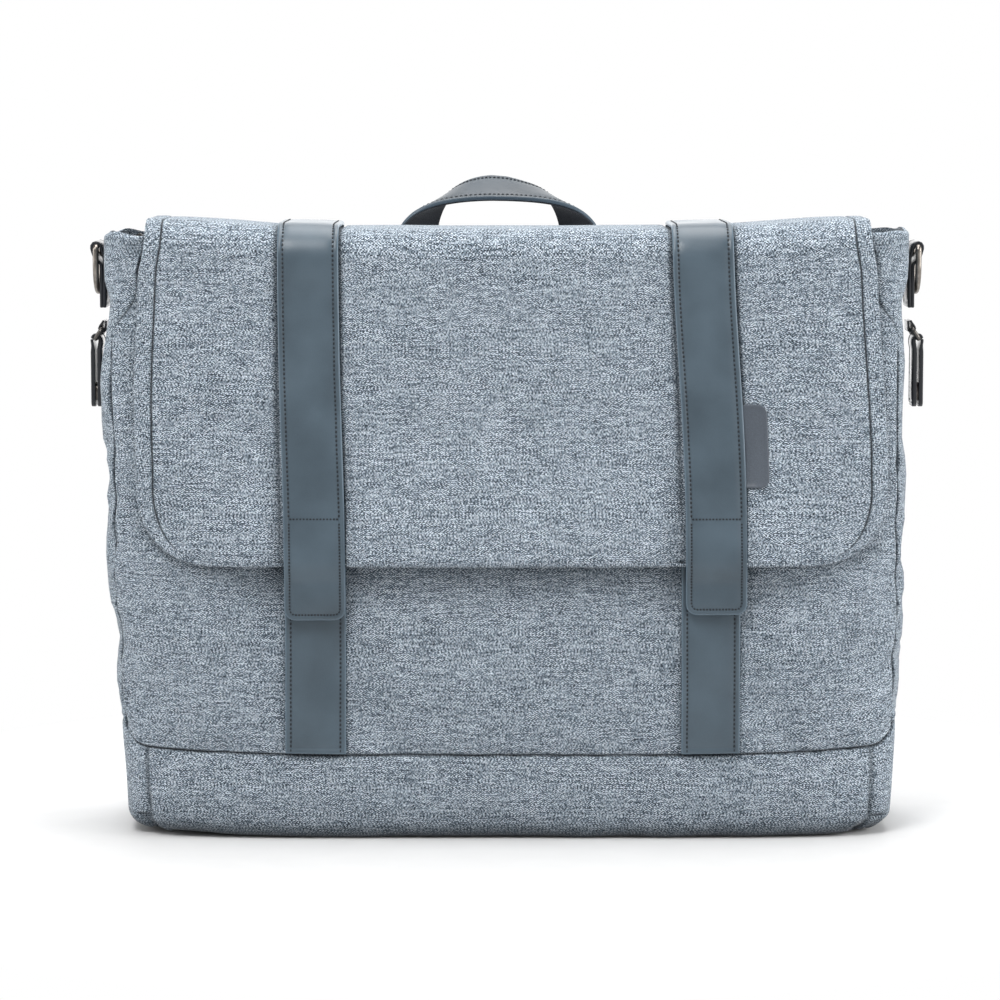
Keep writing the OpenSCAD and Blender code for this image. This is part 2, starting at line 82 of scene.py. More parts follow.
TOP_Z = node_box("flap_top")[1][2] - FLAP[1]
SHOULDER_Z = TOP_Z - SHOULDER_R
BODY_HALF = node_box("gusset_right")[1][0]
BASE_HALF, BASE_DEPTH = node_box("base_panel")[1][:2] + FOOT_R - 2
TOP_DEPTH = -node_box("zip_strip_front")[0][1] + 7
FLAT_HALF = TOP_DEPTH - SHOULDER_R
BAND_Z = node_box("base_band")[1][2]
GUSSET_Z = node_box("gusset_left")[1][2]

FLAP_HALF = node_box("flap_front_binding")[1][0] - 1.5
FLAP_Z = node_box("flap_front_binding")[0][2]
FLAP_R = 40
BINDING_W = 9
HEM_W = 2.2
TIP_LO, TIP_HI = node_box("strap_tip_left")
STRAP_W = TIP_HI[0] - TIP_LO[0]
STRAP_X = 104
TIP_R = 6
ANCHOR_S = FLAT_HALF + ARC - 2
STITCH_INSET = 2.9
STITCH_PITCH = 2.3
TIP_PITCH = 1.65
SHARP_ANGLE = 55
# The distance that stands for "no edge or seam near"
FAR = 50.0


# ---- the bag's surfaces ----

def smooth(x, a, b):
    t = np.clip((np.asarray(x, float) - a) / (b - a), 0, 1)
    return t * t * (3 - 2 * t)


def bell(x, width):
    return np.exp(-(x / width) ** 2)


def unit(v):
    return v / np.maximum(np.linalg.norm(v, axis=-1, keepdims=True), 1e-9)


def plan_fill(u):
    return np.maximum(0, 1 - np.abs(u) ** SQUARENESS) ** (1 / SQUARENESS)


def plan_outline(angle):
    """x and y on the plan outline of half size 1. The angle is 0 at +X."""
    c, s = np.cos(angle), np.sin(angle)
    stretch = (np.abs(c) ** SQUARENESS + np.abs(s) ** SQUARENESS) ** (-1 / SQUARENESS)
    return c * stretch, s * stretch


def foot(z):
    drop = np.clip(FOOT_R - z, 0, FOOT_R)
    return FOOT_R - np.sqrt(FOOT_R ** 2 - drop ** 2)


def half_width(z):
    share = np.clip(z / WIDEST_Z, 0, 1)
    return BASE_HALF + (BODY_HALF - BASE_HALF) * np.sin(math.pi / 2 * share) - foot(z)


def half_depth(z):
    share = np.clip(z / SHOULDER_Z, 0, 1)
    straight = BASE_DEPTH + (TOP_DEPTH - BASE_DEPTH) * share ** LEAN
    return straight + BELLY * np.sin(math.pi * share) - foot(z)


def wall_s(z):
    """Distance along the fold, from the top's centre line, of height z on a wall."""
    return FLAT_HALF + ARC + SHOULDER_Z - z


def fold(x, s):
    """Point on the front wall, the top or the back wall: s is negative to the front."""
    d = np.abs(s)
    angle = np.clip((d - FLAT_HALF) / SHOULDER_R, 0, math.pi / 2)
    on_top = d < FLAT_HALF + ARC
    z = np.where(on_top, SHOULDER_Z + SHOULDER_R * np.cos(angle), wall_s(0) - d)
    y = np.where(on_top, np.minimum(d, FLAT_HALF) + SHOULDER_R * np.sin(angle), half_depth(z))
    return np.stack([x + 0 * s, np.sign(s) * y * plan_fill(x / half_width(z)), z + 0 * x], -1)


def wall(theta, z):
    """Point round the body at height z and angle theta of the plan outline."""
    x, y = plan_outline(theta)
    return np.stack([x * half_width(z), y * half_depth(z), z + 0 * x], -1)


def normal_of(surface, a, b, step_a, step_b):
    da = surface(a + step_a, b) - surface(a - step_a, b)
    db = surface(a, b + step_b) - surface(a, b - step_b)
    return unit(np.cross(da, db))


def off_surface(surface, a, b, depth, step_a=0.05, step_b=0.05):
    a, b = np.broadcast_arrays(np.asarray(a, float), np.asarray(b, float))
    return surface(a, b) + normal_of(surface, a, b, step_a, step_b) * np.asarray(depth)[..., None]


def fold_at(x, s, depth):
    return off_surface(fold, x, s, depth)


def wall_at(theta, z, depth):
    return off_surface(wall, theta, z, depth, step_a=1e-4)


def outline_length(z):
    """Angles round the plan outline at height z, and the distance along it from +X."""
    angle = np.linspace(0, 2 * math.pi, 4001)
    ring = wall(angle, np.full(angle.shape, float(z)))
    return angle, path_length(ring)


def path_length(points):
    return np.concatenate([[0], np.cumsum(np.linalg.norm(np.diff(points, axis=0), axis=1))])


def seam_share(z):
    """Where the side seams run, as a share of the half width: round the corner at the foot, and
    further in at the top, where the gusset folds forward under the flap's edge."""
    low = SEAM_LOW + (SEAM_MID - SEAM_LOW) * smooth(z, 90, 230)
    high = low + (SEAM_FOLD - SEAM_MID) * smooth(z, 262, 284)
    return high + (SEAM_TOP - SEAM_FOLD) * smooth(z, 292, 314)


def seam_hidden(z):
    """Where a side seam slips in under the flap's edge, so that its groove and the twill's painted seam
    shade fade out.
    """
    return 4 * bell(z - 271, 11)


# ---- how the filled bag settles away from those surfaces ----

TOP_LIFT = 5.0
TOP_SAG = 0.8
SEAM_RISE = 4.3
GUSSET_SEAM_RISE = 10.5
CORNER_LIFT = 2.4
RIGHT_FLARE = 2.0
RIGHT_TUCK = 0.6
# Soft dents: centre, radius and depth
DENTS = [
    ((-BODY_HALF, -14, 268), 20, 3.0),
    ((BODY_HALF, -14, 268), 20, 4.0),
    ((-BODY_HALF, 30, 266), 24, 2.5),
    ((BODY_HALF, 30, 266), 24, 2.5),
    ((-BODY_HALF, -34, 238), 44, -2.6),
    ((-BODY_HALF + 2, -34, 100), 26, 1.2),
    ((BODY_HALF - 2, -36, 150), 34, 1.4),
    ((-70, -62, 92), 55, 1.0),
    ((60, -62, 118), 60, 0.9),
    ((150, -60, 80), 45, 1.1),
    ((-150, -58, 112), 38, 0.9),
]
# Waves: how far they move the cloth, lattice size and seed
WALL_WAVES = ((0.7, 46, 3), (0.35, 19, 4))
GUSSET_WAVES = ((0.35, 30, 5),)
NOISE_SIZE = 64


def lattice_noise(x, y, size, seed):
    """Smooth noise between -1 and 1 on a lattice of the given size."""
    table = np.random.default_rng(seed).uniform(-1, 1, (NOISE_SIZE, NOISE_SIZE))
    fx, fy = np.asarray(x) / size + NOISE_SIZE / 2, np.asarray(y) / size + NOISE_SIZE / 2
    ix, iy = np.floor(fx).astype(int), np.floor(fy).astype(int)
    tx, ty = smooth(fx - ix, 0, 1), smooth(fy - iy, 0, 1)

    def row(j):
        near, far = (table[(ix + i) % NOISE_SIZE, (iy + j) % NOISE_SIZE] for i in (0, 1))
        return near * (1 - tx) + far * tx

    return row(0) * (1 - ty) + row(1) * ty


def waves(a, b, table):
    return sum(height * lattice_noise(a, b, size, seed) for height, size, seed in table)


def sculpt(points):
    """Moves points of the ideal bag to where the soft one sags, lifts and dents."""
    start = np.array(points, float)
    p = start.copy()
    x, y, z = start[..., 0], start[..., 1], start[..., 2]
    side = np.abs(x)
    # The top's corners stand higher than its middle
    p[..., 2] += smooth(z, 200, TOP_Z) * (TOP_LIFT * smooth(side, 95, 188) - TOP_SAG)
    # The band's seam rises towards the sides, most of all round the gussets
    rise = SEAM_RISE * (side / BASE_HALF) ** 4
    rise = rise + GUSSET_SEAM_RISE * smooth(side, 190, 204) * (1 - smooth(np.abs(y), 36, 56))
    above = 1 - smooth(z, BAND_Z, BAND_Z + 110)
    p[..., 2] += rise * np.where(z < BAND_Z, np.clip(z / BAND_Z, 0, 1) ** 2, above)
    # The foot's corners lift off the floor, and the right-hand side flares there
    left, right = smooth(-x, 110, 195), smooth(x, 165, 200)
    p[..., 2] += CORNER_LIFT * (left + 0.6 * right) * (1 - smooth(z, 0, 40))
    p[..., 0] += RIGHT_FLARE * right * smooth(z, 2, 8) * (1 - smooth(z, 40, 90))
    p[..., 0] -= RIGHT_TUCK * right * smooth(z, 110, 170)
    for centre, radius, depth in DENTS:
        near = np.exp(-2 * (np.linalg.norm(start - centre, axis=-1) / radius) ** 2)
        on_gusset = abs(centre[0]) > 200
        p[..., 0 if on_gusset else 1] -= depth * near * np.sign(centre[0 if on_gusset else 1])
    level = smooth(z, 8, 40)
    p[..., 1] += waves(x, z, WALL_WAVES) * smooth(np.abs(y), 20, 40) * level * np.sign(y)
    p[..., 0] += waves(y, z, GUSSET_WAVES) * smooth(side, 190, 210) * level * np.sign(x)
    return p


# ---- meshes ----

def grid_faces(rows, cols, loop=False):
    r, c = np.meshgrid(np.arange(rows - 1) * cols, np.arange(cols if loop else cols - 1), indexing="ij")
    after = (c + 1) % cols
    return np.stack([r + c, r + after, r + cols + after, r + cols + c], -1).reshape(-1, 4)


def new_object(name, points, faces, uv=0.0, rim=FAR):
    """A mesh object from points in millimetres. Its faces are turned to look outwards. rim is each
    point's distance from the nearest edge or seam, which the materials use."""
    points = np.asarray(points, float).reshape(-1, 3)
    faces = [tuple(int(i) for i in face) for face in faces]
    corners = [points[np.array([f[k] for f in faces])] for k in range(3)]
    if (corners[0] * np.cross(corners[1], corners[2])).sum() < 0:
        faces = [face[::-1] for face in faces]
    mesh = bpy.data.meshes.new(name)
    mesh.from_pydata((points / MM).tolist(), [], faces)
    mesh.shade_smooth()
    mesh.set_sharp_from_angle(angle=math.radians(SHARP_ANGLE))
    corners = np.zeros(len(mesh.loops), np.int32)
    mesh.loops.foreach_get("vertex_index", corners)
    flat = np.broadcast_to(uv, (len(points), 2)) / MM
    mesh.uv_layers.new(name="UVMap").data.foreach_set("uv", flat[corners].astype(np.float32).ravel())
    distance = np.broadcast_to(rim, len(points)).astype(np.float32)
    mesh.attributes.new("rim", "FLOAT", "POINT").data.foreach_set("value", distance)
    obj = bpy.data.objects.new(name, mesh)
    bpy.context.scene.collection.objects.link(obj)
    return obj


def closed_sheet(name, outer, inner, uv, rim=FAR, loop=False):
    """A thin solid between two grids of points, with its edges closed. uv is two grids."""
    rows, cols = outer.shape[:2]
    size = rows * cols
    top = grid_faces(rows, cols, loop)
    c = np.arange(cols if loop else cols - 1)
    after, last = (c + 1) % cols, size - cols
    edges = [(c, after), (last + after, last + c)]
    if not loop:
        r = np.arange(rows - 1) * cols
        edges += [(r + cols, r), (r + cols - 1, r + 2 * cols - 1)]
    faces = [top, top[:, ::-1] + size] + [np.stack([a, a + size, b + size, b], -1) for a, b in edges]
    thickness = np.linalg.norm(outer - inner, axis=-1).mean()
    uv = np.stack(np.broadcast_arrays(*uv), -1).reshape(-1, 2)
    return new_object(name, np.stack([outer, inner]), np.concatenate(faces),
                      np.concatenate([uv, uv + thickness]),
                      np.tile(np.broadcast_to(rim, (rows, cols)).ravel(), 2))


def tube(centre, a, b, radius, sides):
    """Points round a line, with a and b the directions across it, and the faces between them."""
    turn = np.arange(sides) * 2 * math.pi / sides
    ring = np.cos(turn)[:, None] * a[:, None] + np.sin(turn)[:, None] * b[:, None]
    return centre[:, None] + np.reshape(radius, (-1, 1, 1)) * ring, tube_faces(len(centre), sides)


def tube_faces(rows, sides):
    faces = [tuple(face) for face in grid_faces(rows, sides, loop=True)]
    return faces + [tuple(range(sides - 1, -1, -1)), tuple((rows - 1) * sides + c for c in range(sides))]


def stations(lo, hi, spacing, fine=(0.12, 0.4, 0.8, 1.4, 2.2, 3.2, 4.6), both=(True, True)):
    """Positions from lo to hi, closer together near the ends that need it."""
    head = [lo] + [lo + f for f in fine if both[0]]
    tail = [hi - f for f in reversed(fine) if both[1]] + [hi]
    count = max(2, int(round((tail[0] - head[-1]) / spacing)))
    middle = np.linspace(head[-1], tail[0], count + 1)[1:-1]
    return np.concatenate([head, middle, tail])


def round_edge(d, r):
    """How far a padded sheet falls away at distance d from its edge."""
    t = np.clip(1 - d / r, 0, 1)
    return r * (1 - np.sqrt(1 - t * t))


def seam_fall(d, groove=0.8, reach=4):
    """How far padded cloth falls away at distance d from a seam."""
    return round_edge(d, 1.6) + groove * np.exp(-d / reach)


def puckers(d, along, seed, height=0.28, reach=9.0, size=7.0):
    """Small gathers beside a seam: d is the distance from it, along the position beside it."""
    return height * np.exp(-d / reach) * lattice_noise(along, along * 0 + seed, size, seed)


CLOTH_FRAMES = 20
COARSENESS = 3


def cloth_puff(points, pinned, pressure, slack, cap):
    """Blows a pinned cloth grid out with Blender's cloth solver. Returns each point's travel along
    the grid's normal, in millimetres, at most cap."""
    obj = new_object("cloth_trial", points, grid_faces(*points.shape[:2]))
    group = obj.vertex_groups.new(name="pinned")
    group.add(np.flatnonzero(pinned.ravel()).tolist(), 1.0, "REPLACE")
    modifier = obj.modifiers.new("cloth", "CLOTH")
    settings = modifier.settings
    settings.quality = 6
    settings.vertex_group_mass = "pinned"
    settings.use_pressure = True
    settings.uniform_pressure_force = pressure
    settings.shrink_min = -slack
    settings.tension_stiffness = settings.compression_stiffness = 25
    settings.bending_stiffness = 0.6
    settings.effector_weights.gravity = 0
    modifier.collision_settings.use_collision = False
    modifier.point_cache.frame_start, modifier.point_cache.frame_end = 1, CLOTH_FRAMES
    for number in range(1, CLOTH_FRAMES + 1):
        bpy.context.scene.frame_set(number)
    shape = obj.evaluated_get(bpy.context.evaluated_depsgraph_get()).to_mesh()
    moved = np.zeros(points.size, np.float32)
    shape.vertices.foreach_get("co", moved)
    bpy.data.objects.remove(obj)
    bpy.context.scene.frame_set(1)
    normal = unit(np.cross(np.gradient(points, axis=1), np.gradient(points, axis=0)))
    normal = normal * np.sign((normal * points).sum())
    travel = ((moved.reshape(points.shape) * MM - points) * normal).sum(-1)
    return cap * np.tanh(travel / cap)


def panel_swell(points, pressure, slack, cap, sewn=None):
    """Cloth puff of a panel's grid, solved on a coarser one. sewn marks points held by a seam."""
    rows, cols = (np.linspace(0, n - 1, n // COARSENESS).astype(int) for n in points.shape[:2])
    pinned = np.zeros((len(rows), len(cols)), bool)
    pinned[[0, -1], :] = pinned[:, [0, -1]] = True
    if sewn is not None:
        pinned |= sewn[np.ix_(rows, cols)]
    swell = cloth_puff(points[np.ix_(rows, cols)], pinned, pressure, slack, cap)
    across = np.stack([np.interp(np.arange(points.shape[1]), cols, row) for row in swell])
    return np.stack([np.interp(np.arange(points.shape[0]), rows, column) for column in across.T]).T


# ---- materials ----

class Material:
    """A short way to write a node material."""

    def __init__(self, name, roughness=0.5, metallic=0.0, sheen=0.0, specular=0.5):
        self.data = bpy.data.materials.new(name)
        self.data.use_nodes = True
        self.tree = self.data.node_tree
        self.shader = self.tree.nodes["Principled BSDF"]
        for socket, value in (("Roughness", roughness), ("Metallic", metallic), ("Sheen Weight", sheen),
                              ("Sheen Roughness", 0.5), ("Specular IOR Level", specular)):
            self.shader.inputs[socket].default_value = value

    def put(self, socket, value):
        if isinstance(value, bpy.types.NodeSocket):
            self.tree.links.new(value, socket)
        elif isinstance(value, tuple) and len(value) == 3 and socket.type == "RGBA":
            socket.default_value = (*value, 1)
        else:
            socket.default_value = value

    def node(self, kind, inputs=None, out=0, **settings):
        made = self.tree.nodes.new("ShaderNode" + kind)
        for key, value in settings.items():
            setattr(made, key, value)
        for key, value in (inputs or {}).items():
            self.put(made.inputs[key], value)
        return made.outputs[out]

    def math(self, operation, *values, clamp=False):
        return self.node("Math", dict(enumerate(values)), operation=operation, use_clamp=clamp)

    def add_scaled(self, value, scale, offset):
        return self.math("MULTIPLY_ADD", value, scale, offset)

    def wave(self, value, pitch):
        return self.math("SINE", self.math("MULTIPLY", value, 2 * math.pi / pitch))

    def uv(self):
        """The sheet's own coordinates, in millimetres: across and along."""
        place = self.node("UVMap", uv_map="UVMap")
        return [self.math("MULTIPLY", self.node("SeparateXYZ", {0: place}, out=i), MM) for i in (0, 1)]

    def position(self, scale=MM):
        place = self.node("TexCoord", out=3)
        return self.node("VectorMath", {0: place, 1: (scale, scale, scale)}, operation="MULTIPLY")

    def vector(self, x, y, z=0.0):
        return self.node("CombineXYZ", {0: x, 1: y, 2: z})

    def noise(self, vector, scale=1.0, detail=2.0):
        return self.node("TexNoise", {"Vector": vector, "Scale": scale, "Detail": detail, "Roughness": 0.5})

    def flat_noise(self, u, u_size, v, v_size, detail=2.0):
        place = self.vector(self.math("DIVIDE", u, u_size), self.math("DIVIDE", v, v_size))
        return self.noise(place, detail=detail)

    def random(self, *place):
        return self.node("TexWhiteNoise", {"Vector": self.vector(*place)}, noise_dimensions="3D")

    def ramp(self, value, *stops):
        made = self.node("ValToRGB", {0: value})
        band = made.node.color_ramp
        while len(band.elements) < len(stops):
            band.elements.new(0.5)
        for element, (place, colour) in zip(band.elements, stops):
            element.position = place
            element.color = (*colour, 1)
        return made

    def mix(self, share, a, b):
        return self.node("Mix", {0: share, 6: a, 7: b}, out=2, data_type="RGBA")

    def near_rim(self, reach):
        """1 at an edge or seam, falling to 0 at the given distance."""
        rim = self.node("Attribute", attribute_name="rim", out=2)
        return self.math("SUBTRACT", 1.0, self.math("DIVIDE", rim, reach), clamp=True)

    def finish(self, colour, height, distance, strength=0.5, roughness=None):
        """Sets the surface: its colour, its relief and, where it varies, its roughness."""
        normal = self.node("Bump", {"Height": height, "Distance": distance / MM, "Strength": strength})
        self.put(self.shader.inputs["Normal"], normal)
        self.put(self.shader.inputs["Base Color"], colour)
        if roughness is not None:
            self.put(self.shader.inputs["Roughness"], roughness)
        return self.data


def scaled(shade, level):
    return tuple(level * c for c in shade)


# The twill's weave, in millimetres: its rows, its floats and their parts, and its columns
THREAD_PITCH = 0.53
FLOAT_LENGTH = 1.83
FLOAT_PARTS = 3.4
COLUMN_W = 0.40
# How many rows a change of tone along a thread takes up
STRAND_ROWS = 1 / 5.3
SLUB_ROWS = 1 / 3.1
# Painted shade from ambient occlusion: how far off a thing shelters the cloth from the light, and how much
# darker its colour is painted
PAINTED_SHADE_REACH = 26.0
PAINTED_SHADE_SHARE = 0.85
# Painted shade along a seam, standing in for the shade in its groove: its reach and strength
PAINTED_SEAM_REACH = 1.3
PAINTED_SEAM_SHARE = 0.6
# The fibres' shades, at their places on the ramp from dark to light
FIBRE_SHADES = ((0.0, (0.010, 0.016, 0.024)), (0.26, (0.058, 0.079, 0.101)), (0.5, (0.148, 0.189, 0.230)),
                (0.74, (0.312, 0.369, 0.424)), (1.0, (0.60, 0.665, 0.73)))
# The colour of the painted shade along seams
PAINTED_SEAM_SHADE = (0.03, 0.04, 0.05)
# The colour of the painted shade from ambient occlusion
PAINTED_SHADE_COLOUR = (0.012, 0.017, 0.023)


def twill(name, turn=0.0, level=1.0):
    """Melange twill: light and dark fibres spun together, so that each float has its own tone and
    each thread runs lighter and darker along its length. Painted shade darkens it along its seams,
    standing in for the shade in their grooves, and where something shelters it from the light.
    turn is the direction of the rows of floats, in radians."""
    m = Material(name, roughness=0.92, sheen=0.12, specular=0.25)
    u, v = m.uv()
    if turn:
        c, s = math.cos(turn), math.sin(turn)
        u, v = (m.math("ADD", m.math("MULTIPLY", u, c), m.math("MULTIPLY", v, s)),
                m.math("SUBTRACT", m.math("MULTIPLY", v, c), m.math("MULTIPLY", u, s)))
    v = m.add_scaled(m.flat_noise(u, 60.0, v, 60.0), 3.0, v)
    rows = m.math("DIVIDE", v, THREAD_PITCH)
    row = m.math("FLOOR", rows)
    step = m.add_scaled(row, 0.5, m.math("MULTIPLY", m.random(row, 3.7), 0.45))
    turns = m.math("ADD", m.math("DIVIDE", u, FLOAT_LENGTH), step)
    float_wave = m.wave(turns, 1.0)
    speckle = m.random(m.math("FLOOR", m.math("MULTIPLY", turns, FLOAT_PARTS)), row)
    odd = m.math("SUBTRACT", m.math("MULTIPLY", m.math("FLOORED_MODULO", row, 2.0), 2.0), 1.0)
    column = m.math("FLOOR", m.math("DIVIDE", u, COLUMN_W))
    below = m.random(column, m.math("SUBTRACT", row, 1.0), 8.0)
    weave = m.add_scaled(m.math("SUBTRACT", m.random(column, row, 8.0), below), 0.5, 0.5)
    strand = m.flat_noise(u, 2.6, row, STRAND_ROWS, detail=1.0)
    slub = m.flat_noise(u, 11.0, row, SLUB_ROWS)
    streak = m.flat_noise(u, 16.0, v, 1.5, detail=1.0)
    warp = m.flat_noise(u, 0.55, v, 14.0, detail=0.0)
    cloud = m.flat_noise(u, 34.0, v, 22.0)
    tone = 0.5
    for value, share in ((speckle, 0.60), (weave, 1.15), (strand, 0.48), (slub, 0.60), (streak, 0.50),
                         (warp, 0.30), (cloud, 0.12)):
        tone = m.add_scaled(m.math("SUBTRACT", value, 0.5), share, tone)
    tone = m.add_scaled(odd, 0.05, m.add_scaled(float_wave, 0.25, tone))
    cloth = m.ramp(tone, *[(place, scaled(shade, level)) for place, shade in FIBRE_SHADES])
    # Painted shade along seams, edges and creases, standing in for the shade in their grooves
    cloth = m.mix(m.math("MULTIPLY", m.near_rim(PAINTED_SEAM_REACH), PAINTED_SEAM_SHARE), cloth, PAINTED_SEAM_SHADE)
    # Painted shade: an ambient-occlusion node darkens the colour where something shelters the cloth from
    # the light
    open_share = m.node("AmbientOcclusion", {1: PAINTED_SHADE_REACH / MM}, out=1, samples=4)
    painted_shade = m.math("MULTIPLY", m.math("SUBTRACT", 1.0, open_share), PAINTED_SHADE_SHARE, clamp=True)
    ridge = m.math("SINE", m.math("MULTIPLY", m.math("FRACT", rows), math.pi))
    height = m.add_scaled(float_wave, 0.35, m.math("ADD", ridge, m.math("MULTIPLY", speckle, 0.6)))
    return m.finish(m.mix(painted_shade, cloth, PAINTED_SHADE_COLOUR), height, 0.12)


def plain_cloth(name, dark, light, pitch, rib=0.0):
    """Plain weave of one colour, or a ribbed tape."""
    m = Material(name, roughness=0.85, sheen=0.1, specular=0.2)
    u, v = m.uv()
    weave = m.math("MULTIPLY", m.wave(u, pitch), m.wave(v, pitch))
    if rib:
        weave = m.math("ADD", m.math("MULTIPLY", weave, 0.4), m.wave(u, rib))
    tone = m.add_scaled(weave, 0.22, m.flat_noise(u, 0.8, v, 0.8, detail=3.0))
    return m.finish(m.ramp(tone, (0.25, dark), (0.8, light)), weave, 0.08, 0.6)


def leatherette(name, shade, gloss):
    """Coated leather: fine pebbled grain, soft cloudy sheen, and lighter edges: worn edge paint, with a
    painted highlight where the edges catch the light.
    """
    m = Material(name)
    here = m.position()
    grain = m.node("TexVoronoi", {"Vector": here, "Scale": 1.5, "Randomness": 1.0}, feature="SMOOTH_F1")
    fine = m.noise(here, scale=2.6, detail=3.0)
    cloud = m.noise(here, scale=0.035, detail=3.0)
    tone = m.add_scaled(fine, 0.25, m.math("MULTIPLY", cloud, 0.75))
    base = m.ramp(tone, (0.3, scaled(shade, 0.78)), (0.7, scaled(shade, 1.28)))
    # Lighter edges: worn edge paint, and a painted highlight where the edges catch the light
    edge_wear_and_highlight = m.math("MULTIPLY", m.near_rim(0.9), m.add_scaled(fine, 0.5, 0.30))
    relief = m.add_scaled(grain, 0.7, m.math("MULTIPLY", fine, 0.5))
    return m.finish(m.mix(edge_wear_and_highlight, base, scaled(shade, 3.0)), relief, 0.05,
                    roughness=m.add_scaled(cloud, 0.22, gloss - 0.11))


def metal(name, shade, rough):
    """Plated metal with fine brushing, darker where it's handled less."""
    m = Material(name, metallic=1.0)
    here = m.position()
    patina = m.noise(here, scale=0.35, detail=4.0)
    brush = m.noise(here, scale=4.0)
    return m.finish(m.ramp(patina, (0.3, scaled(shade, 0.55)), (0.75, shade)), brush, 0.01, 0.3,
                    roughness=m.add_scaled(brush, 0.18, rough - 0.09))


def grained(name, shade, rough, size, contrast=(0.8, 1.15), detail=3.0, relief=0.04):
    """Moulded plastic, rubber or twisted thread, with a fine even texture."""
    m = Material(name, roughness=rough, specular=0.4)
    cells = m.noise(m.position(), scale=size, detail=detail)
    stops = [(place, scaled(shade, level)) for place, level in zip((0.3, 0.7), contrast)]
    return m.finish(m.ramp(cells, *stops), cells, relief)


TWILL = twill("melange_twill")
TWILL_BIAS = twill("melange_twill_bias", turn=math.radians(52), level=0.97)
LEATHER = leatherette("slate_leatherette", (0.053, 0.078, 0.100), 0.38)
# A darker copy of the strap leatherette: painted shade on the handle, which the lamps light more than the
# straps
SHADED_HANDLE_LEATHER = leatherette("handle_leatherette_shaded", (0.026, 0.038, 0.050), 0.46)
DARK_LEATHER = leatherette("dark_leatherette", (0.005, 0.006, 0.008), 0.30)
LINING = plain_cloth("lining_cloth", (0.10, 0.11, 0.13), (0.20, 0.21, 0.24), 0.7)
POCKET = plain_cloth("pocket_cloth", (0.08, 0.09, 0.11), (0.16, 0.17, 0.20), 0.7)
DARK_TAPE = plain_cloth("dark_tape", (0.012, 0.014, 0.018), (0.045, 0.05, 0.06), 0.9)
ELASTIC = plain_cloth("ribbed_elastic", (0.010, 0.011, 0.014), (0.035, 0.038, 0.045), 0.8, rib=2.4)
GUNMETAL = metal("gunmetal", (0.33, 0.30, 0.27), 0.30)
DARK_METAL = metal("dark_nickel", (0.16, 0.15, 0.14), 0.32)
LABEL = grained("label_rubber", (0.070, 0.083, 0.102), 0.42, 2.2)
BOARD = grained("board_plastic", (0.035, 0.036, 0.040), 0.55, 0.8)
COIL = grained("zip_coil", (0.020, 0.022, 0.026), 0.40, 3.0)
THREAD = grained("dark_thread", (0.011, 0.015, 0.020), 0.6, 3.0, contrast=(0.6, 1.5), detail=2.0,
                 relief=0.05)


def finish_piece(obj, material, rides, *replaced, slot=None):
    """Gives a new piece its material, parents it to a CAD body and hides the CAD parts it replaces.
    rides is a body's name or, for a piece across a joint, (body a, body b, start, end) in millimetres;
    with the latter the piece only has its transform baked, rides no body and doesn't bend."""
    obj.data.materials.append(material)
    if isinstance(rides, str):
        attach(obj, rides)
    else:
        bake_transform(obj)
    if replaced:
        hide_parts(*replaced)


# The spans of cloth across the flap's two joints: body a, body b, start and end
LIFT = ("bag", "flap_top", (0, FLAT_HALF + 10, TOP_Z), (0, FLAT_HALF - 12, TOP_Z))
CREASE = ("flap_top", "flap_front", (0, -FLAT_HALF - 4, TOP_Z + 6), (0, -FLAT_HALF - 19, TOP_Z - 9))


# ---- body ----

def shell(name, place, a, b, depth, uv, rim, loop=False):
    """A piece of the bag's outer cloth: place is fold_at or wall_at, a and b its coordinates."""
    outer, inner = (sculpt(place(a, b, level)) for level in (depth, -SHELL_T))
    return closed_sheet(name, outer, inner, uv, rim, loop)


PANEL_STEP = (3.0, 3.2)
# How far past its edges a lower strap holds the panel down
STRAP_HOLD = 7


def wall_panel(name, side):
    """Front or back wall: side is -1 or 1. The front one is sewn down under the lower straps."""
    edge = SEAM_MID * BODY_HALF
    x_at = stations(-edge, edge, PANEL_STEP[0])
    z_at = stations(BAND_Z, SHOULDER_Z + 0.8 * ARC, PANEL_STEP[1], both=(True, False))
    s, share = np.meshgrid(wall_s(z_at), x_at / edge, indexing="ij")
    z = fold(0 * s, s)[..., 2]
    x = share * seam_share(z) * half_width(z)
    strap_top = node_box("lower_strap_left")[1][2]
    under_strap = np.abs(np.abs(x) - STRAP_X) < STRAP_W / 2 + STRAP_HOLD
    under_strap &= z < strap_top + 4
    flat = fold_at(x, side * s, 0.0)
    swell = panel_swell(sculpt(flat), 1.2, 0.012, 2.2, under_strap if side < 0 else None)
    swell = swell * (1 - (smooth(z, 185, 222) if side < 0 else smooth(z, 235, 262)))
    from_side = (1 - np.abs(share)) * edge + seam_hidden(z)
    from_seam = wall_s(BAND_Z) - s
    rim = np.minimum(from_side, from_seam)
    depth = swell - seam_fall(rim, 0.9, 5)
    depth = depth + puckers(from_seam, x, 11) + puckers(from_side, s, 12, 0.22)
    return shell(name, fold_at, x, side * s, depth, (x, -s), rim)


# The gussets' tops rise past the zip: how far, and the soft hump towards the front and the back
GUSSET_RISE = {-1: 4.0, 1: 6.0}
GUSSET_HUMP = {-1: 2.8, 1: 1.3}


